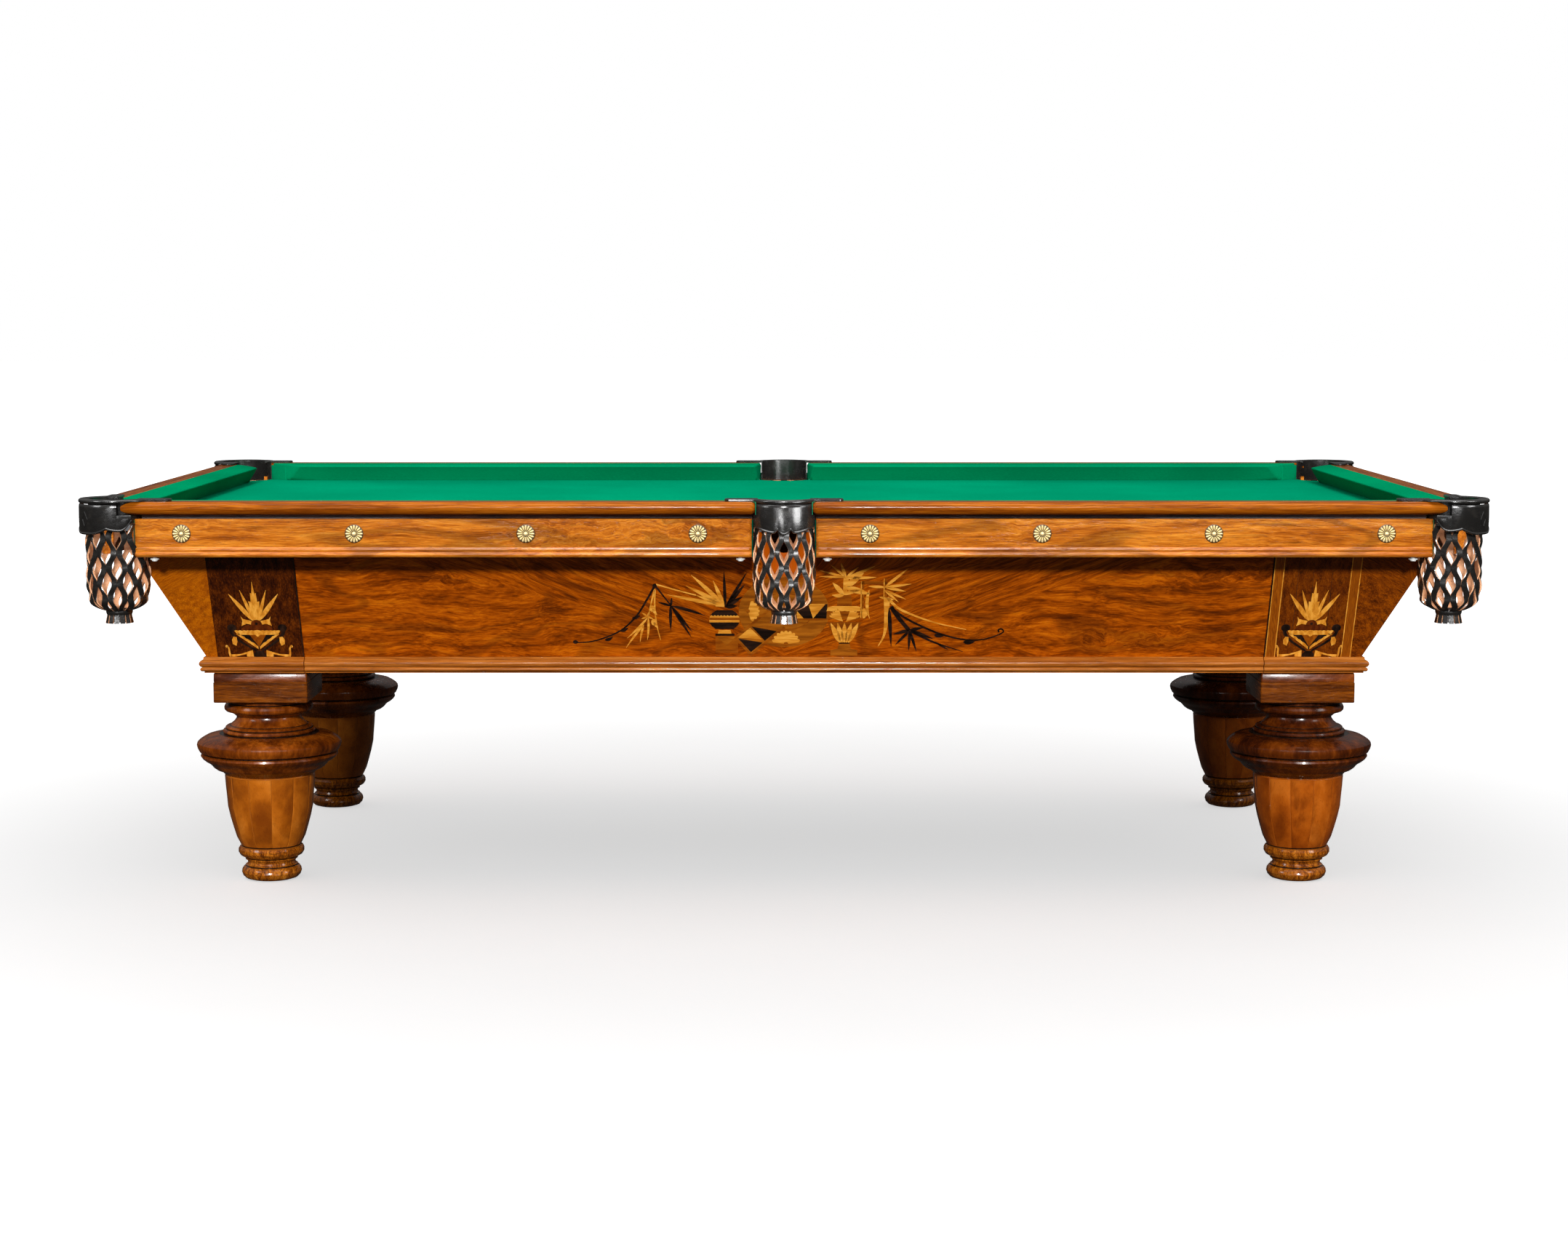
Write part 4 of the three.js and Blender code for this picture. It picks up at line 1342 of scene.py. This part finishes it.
def net_radius(height):
    """The basket is round above, swells a little, then gathers into its neck."""
    if height > 646:
        return 61.5
    if height > 612:
        return 61.5 - 4 * sin(pi / 2 * (646 - height) / 34) ** 2
    share = max(0, (height - 588) / (612 - 588))
    return 23.5 + 34 * sin(pi / 2 * share) ** 0.75


def net_strap(number, straps, width):
    """A strap that sways to its neighbours at the knots and turns a little in between."""
    steps = 60
    sign = 1 if number % 2 else -1
    rows = []
    for i in range(steps + 1):
        height = NET_TOP + (NECK - NET_TOP) * i / steps
        radius = net_radius(height)
        pitch = 2 * pi * radius / straps
        wide = min(width, pitch * 0.93)
        sway = max(0, (pitch - wide * 0.9) / 2)
        phase = max(-1, min(1, 1.15 * cos(pi * (height - NECK) / HALF_WAVE)))
        twist = 0.42 * sin(pi * (height - NECK) / HALF_WAVE) * sign
        angle = (number + 0.5) * 2 * pi / straps + sign * sway * phase / radius
        wobble = 1.2 * sin(number * 2.3 + height / 17) * min(1, (NET_TOP - height) / 40)
        ring = []
        for across, deep in ((-0.5, 0.2), (-0.42, 0.5), (0.42, 0.5), (0.5, 0.2),
                             (0.5, -0.5), (-0.5, -0.5)):
            u, v = across * wide, deep * 3.6
            u, v = u * cos(twist) - v * sin(twist), u * sin(twist) + v * cos(twist)
            reach = radius - 2 + v + wobble
            spot = angle + u / radius
            ring.append((reach * cos(spot), reach * sin(spot), height))
        rows.append(ring)
    marks = [0, 0, 0, 1, 1, 1] * steps + [1, 1]
    return *loft(rows), marks


def tuft_strip(angle, share):
    """One strip of the tuft, widening on its way down. share is its part of the circle."""
    rows = []
    for height, radius in ((NECK - 7, 23), (NECK - 11, 23.6), (NECK - 17, 25), (NECK - 24, 26.4)):
        half = pi * share * 0.8
        rows.append([((radius + deep) * cos(angle + turn), (radius + deep) * sin(angle + turn),
                      height) for turn, deep in ((-half, 1.6), (half, 1.6), (half, -1.6),
                                                 (-half, -1.6))])
    return *loft(rows), [0, 1, 1, 1] * 3 + [1, 1]


def pocket_net(name):
    """Leather straps that touch at their knots, gathered by a collar over a tuft."""
    middle = "middle" in name
    straps = 20 if middle else 18
    width = 11 if middle else 12.4
    form = Form()
    for number in range(straps):
        form.add(*net_strap(number, straps, width))
    collar = [(19, NECK - 9), (24, NECK - 8), (25.6, NECK - 5), (26.4, NECK - 1),
              (25.4, NECK + 3), (19, NECK + 4)]
    form.add(*loft([stood_at(a * pi / 16, collar) for a in range(32)], around=True))
    strips = 14
    for number in range(strips):
        form.add(*tuft_strip((number + 0.5) * 2 * pi / strips, 1 / strips))
    form.add(*loft(rings([(21, NECK), (21.5, NECK - 12), (23.5, NECK - 22)], 24)))
    form.turned(0, pocket_place(name))
    add_piece(f"leather_net_{name}", form, ["strap", "hide"],
              [f"pocket_net_{name}"], smooth=30)


# ---- Metal fittings ----

ROSETTES_LONG = (170, 510, 849, 1190)
ROSETTES_SHORT = (170, 510)
ROSETTE_UP = 745
BOLTS = (86, 1246)


def rosette(side, number, along):
    """A pressed brass bolt cover: a button in a ring of sixteen petals."""
    long = side in ("front", "rear")
    out = (NOSE_Y if long else NOSE_X) + RAIL_WIDTH - 12
    petals = 16
    radii = [0, 1.6, 2.8, 3.6, 4.2, 5.4, 7, 9, 11, 13, 15, 16.4, 17.2, 17.4]
    heights = [4.6, 4.4, 3.6, 2.4, 1.2, 1.3, 2.4, 3.0, 3.3, 3.4, 3.2, 2.6, 1.4, 0]
    form = Form()
    rows, grain = [], []
    for radius, height in zip(radii, heights):
        row, depth = [], []
        for i in range(petals * 6):
            angle = i * 2 * pi / (petals * 6)
            ridge = abs(cos(petals / 2 * angle))
            strength = min(1, max(0, (radius - 4.2) / 1.6))
            lift = height - (1 - ridge) ** 0.9 * 3.2 * strength * min(1, height / 1.6)
            reach = radius * (1 - 0.05 * (1 - ridge) * strength)
            row.append((along + reach * cos(angle), -(out + max(0, lift)),
                        ROSETTE_UP + reach * sin(angle)))
            depth.append((reach * cos(angle), reach * sin(angle), lift - 1.3))
        rows.append(row)
        grain += depth
    points, faces = loft(rows, caps=False)
    form.add(points, faces, 0, grain)
    rim = [[side_point(along + dx, out + proud, ROSETTE_UP + dz) for dx, dz in disc((0, 0), r, 48)]
           for r, proud in ((18.2, -0.4), (18.4, 0.4), (17.6, 0.9), (16, 0.9))]
    points, faces = loft(rim, caps=False)
    form.add(points, faces, 0, [(0, 0, -4)] * len(points))
    form.turned(SIDES[side])
    add_piece(f"rosette_{side}_{number}", form, ["brass"], smooth=50)


def rail_bolt(side, number, along):
    """A bolt's head and washer, close under the apron."""
    top = APRON_BOTTOM
    profile = [(0, top - 8), (4.6, top - 8), (5.8, top - 7.2), (5.8, top - 5.4), (5, top - 5),
               (8.4, top - 4.8), (9, top - 4.2), (9, top - 3), (8.2, top - 2.4),
               (4, top - 2.2), (4, top - 0.2), (0, top - 0.2)]
    reach = NOSE_Y + RAIL_WIDTH - 24
    form = Form()
    form.add(*loft(rings(profile, 24, (along, -reach)), caps=False))
    form.turned(SIDES[side])
    # The bolt's near-white look paints the lamps' glint on it.
    add_piece(f"rail_bolt_{side}_{number}", form, ["zinc"], smooth=40)


# ---- Assembly ----

for corner in CORNERS:
    leg(corner)
    leg_block(corner)
    corner_moulding(corner)
    corner_post(corner)
    pilaster(corner, False)
    pilaster(corner, True)

for side in SIDES:
    straight_moulding(side)
    panel(side)
for side in ("front", "rear"):
    centre_marquetry(side)

def both_ways(make, side, places):
    """Makes numbered fittings in pairs, to the right and the left of a side's middle."""
    for number, along in enumerate(places):
        make(side, 2 * number + 1, along)
        make(side, 2 * number + 2, -along)


for side in ("front", "rear"):
    toward_left = -1 if side == "front" else 1
    for half_name, hand in (("left", toward_left), ("right", -toward_left)):
        for make in (rail, cushion, apron):
            make(f"{side}_{half_name}", side, NOSE_X, NOSE_Y, True, hand)
    both_ways(rosette, side, ROSETTES_LONG)
    both_ways(rail_bolt, side, BOLTS)

for side in ("left", "right"):
    for make in (rail, cushion, apron):
        make(f"{side}_end", side, NOSE_Y, NOSE_X, False, 1)
    both_ways(rosette, side, ROSETTES_SHORT)

bed_cloth()

for name in [*CORNERS, "front_middle", "rear_middle"]:
    pocket_iron(name)
    pocket_net(name)


def refinish(node, look):
    """Gives a CAD node that stays in view its procedural material."""
    kept = frame["nodes"][node]
    points = [value for vertex in kept.data.vertices for value in vertex.co]
    grain = kept.data.attributes.new("grain", "FLOAT_VECTOR", "POINT")
    grain.data.foreach_set("vector", points)
    for material_slot in kept.material_slots:
        material_slot.material = LOOKS[look]


for part in ("left", "middle", "right"):
    refinish(f"slate_{part}", "stone")
for part in ("left", "right"):
    refinish(f"cross_beam_{part}", "frame")


# ---- Studio ----

CAMERA_ONLY = ("visible_diffuse", "visible_glossy", "visible_transmission", "visible_shadow")


def stage_piece(name, points, faces, look, hidden):
    """A part of the studio that lights and reflections pass through."""
    mesh = bpy.data.meshes.new(name)
    mesh.from_pydata([Vector(point) * MM for point in points], [], faces)
    mesh.materials.append(look)
    made = bpy.data.objects.new(name, mesh)
    bpy.context.scene.collection.objects.link(made)
    for ray in hidden:
        setattr(made, ray, False)


def studio_room():
    """A pale floor whose glow is painted light, dimmer round the table, and a white dome behind
    everything.
    """
    paper = Look("glowing_floor_paper", Roughness=0.9, Specular_IOR_Level=0.1)
    place = paper.node("ShaderNodeTexCoord", {}, "Object")
    mottle = paper.noise(place, scale=3.0, detail=3)
    shade = paper.mix(paper.fit(mottle, 0.3, 0.7), (0.93, 0.93, 0.93), (0.95, 0.95, 0.95))
    away = paper.node("ShaderNodeVectorMath", {0: place}, "Value", operation="LENGTH")
    # The floor glows: painted light, weaker near the table as painted shade round it.
    paper.surface.inputs["Emission Color"].default_value = (1, 1, 1, 1)
    paper.feed(paper.surface.inputs["Emission Strength"], paper.fit(away, 1.2, 4.5, 0.60, 1.1))
    rows = rings([(reach, -0.5) for reach in (1, 3000, 60000)], 64)
    stage_piece("studio_floor", *loft(rows, caps=False), paper.wear(shade), CAMERA_ONLY[:2])
    white = Look("dome_paper", Base_Color=(0, 0, 0), Specular_IOR_Level=0.0)
    white.surface.inputs["Emission Color"].default_value = (1, 1, 1, 1)
    white.surface.inputs["Emission Strength"].default_value = 1.0
    radius = 59000
    profile = [(radius * cos(i * pi / 40), radius * sin(i * pi / 40) - 100)
               for i in range(-1, 21)]
    stage_piece("studio_dome", *loft(rings(profile, 64), caps=False), white.material, CAMERA_ONLY)


def world():
    """Soft light from above, and dark ground below the horizon."""
    made = bpy.data.worlds.new("studio")
    bpy.context.scene.world = made
    made.use_nodes = True
    nodes, links = made.node_tree.nodes, made.node_tree.links
    background = nodes["Background"]
    coordinate = nodes.new("ShaderNodeTexCoord")
    parts = nodes.new("ShaderNodeSeparateXYZ")
    links.new(coordinate.outputs["Generated"], parts.inputs[0])
    ramp = nodes.new("ShaderNodeValToRGB")
    links.new(parts.outputs["Z"], ramp.inputs[0])
    stops = ramp.color_ramp.elements
    stops[0].color = (0.06, 0.055, 0.05, 1)
    stops[1].color = (1, 1, 1, 1)
    links.new(ramp.outputs[0], background.inputs["Color"])
    background.inputs["Strength"].default_value = 0.55


def linked(name, pieces, state):
    """A collection that puts pieces in or out of a lamp's light or shadow."""
    group = bpy.data.collections.new(name)
    for number, piece in enumerate(pieces):
        group.objects.link(piece)
        group.collection_objects[number].light_linking.link_state = state
    return group


def light(name, kind, energy, place, turn, lit, **settings):
    lamp = bpy.data.lights.new(name, kind)
    lamp.energy = energy
    for label, value in settings.items():
        setattr(lamp, label, value)
    made = bpy.data.objects.new(name, lamp)
    made.location = place
    made.rotation_euler = [math.radians(angle) for angle in turn]
    bpy.context.scene.collection.objects.link(made)
    made.light_linking.receiver_collection = lit
    return made


def lights():
    """A key from the front, an overhead panel, two front strips and two side panels.

    Only the world lights the floor, so the table stands in one soft shadow. The pockets have
    a key of their own and cast no shadow from the other one. Two lamps shine only on the
    leather of the middle pockets, and a fill without highlights lights the back.
    """
    floor = bpy.data.objects["studio_floor"]
    pockets = [piece for piece in bpy.data.objects if piece.name.startswith("leather_")]
    middle = [piece for piece in pockets if piece.name.endswith("middle")]
    table = linked("all_but_floor", [floor], "EXCLUDE")
    body = linked("all_but_floor_and_pockets", [floor, *pockets], "EXCLUDE")
    open_air = linked("all_but_pockets", pockets, "EXCLUDE")
    front = {"angle": math.radians(6), "place": (0, 0, 3), "turn": (90 - 21.5, 0, 0)}
    key = light("key", "SUN", 3.7, lit=body, **front)
    key.light_linking.blocker_collection = open_air
    light("pocket_key", "SUN", 3.7, lit=linked("pockets", pockets, "INCLUDE"), **front)
    fill = light("back_fill", "SUN", 1.4, (0, 0, 3), (-72, 0, 0), table, angle=math.radians(20))
    fill.visible_glossy = False
    light("overhead", "AREA", 90, (0, -1.4, 3.4), (23, 0, 0), table,
          shape="RECTANGLE", size=5.0, size_y=1.0)
    for side in (-1, 1):
        light(f"strip_{side}", "AREA", 11, (2.1 * side, -5.6, 1.15), (86, 0, 18 * side), table,
              shape="RECTANGLE", size=1.5, size_y=0.2)
        light(f"panel_{side}", "AREA", 26, (3.4 * side, -2.2, 2.1), (55, 0, 62 * side), table,
              shape="RECTANGLE", size=0.9, size_y=0.9)
    leather = linked("middle_pockets", middle, "INCLUDE")
    light("shine_right", "AREA", 110, (2.6, -3.4, 0.9), (90, 0, 45), leather,
          shape="RECTANGLE", size=1.6, size_y=1.2)
    light("shine_left", "AREA", 60, (-0.9, -5.2, 0.4), (90, 0, -11.6), leather,
          shape="RECTANGLE", size=1.0, size_y=0.8)


def camera():
    lens = bpy.data.cameras.new("camera")
    lens.sensor_width = 36
    lens.lens = 66.73
    made = bpy.data.objects.new("camera", lens)
    made.location = (0, -6.4596, 1.1911)
    made.rotation_euler = (math.radians(83.697), 0, 0)
    bpy.context.scene.collection.objects.link(made)
    bpy.context.scene.camera = made


studio_room()
world()
lights()
camera()
bpy.context.scene.view_settings.view_transform = "Standard"
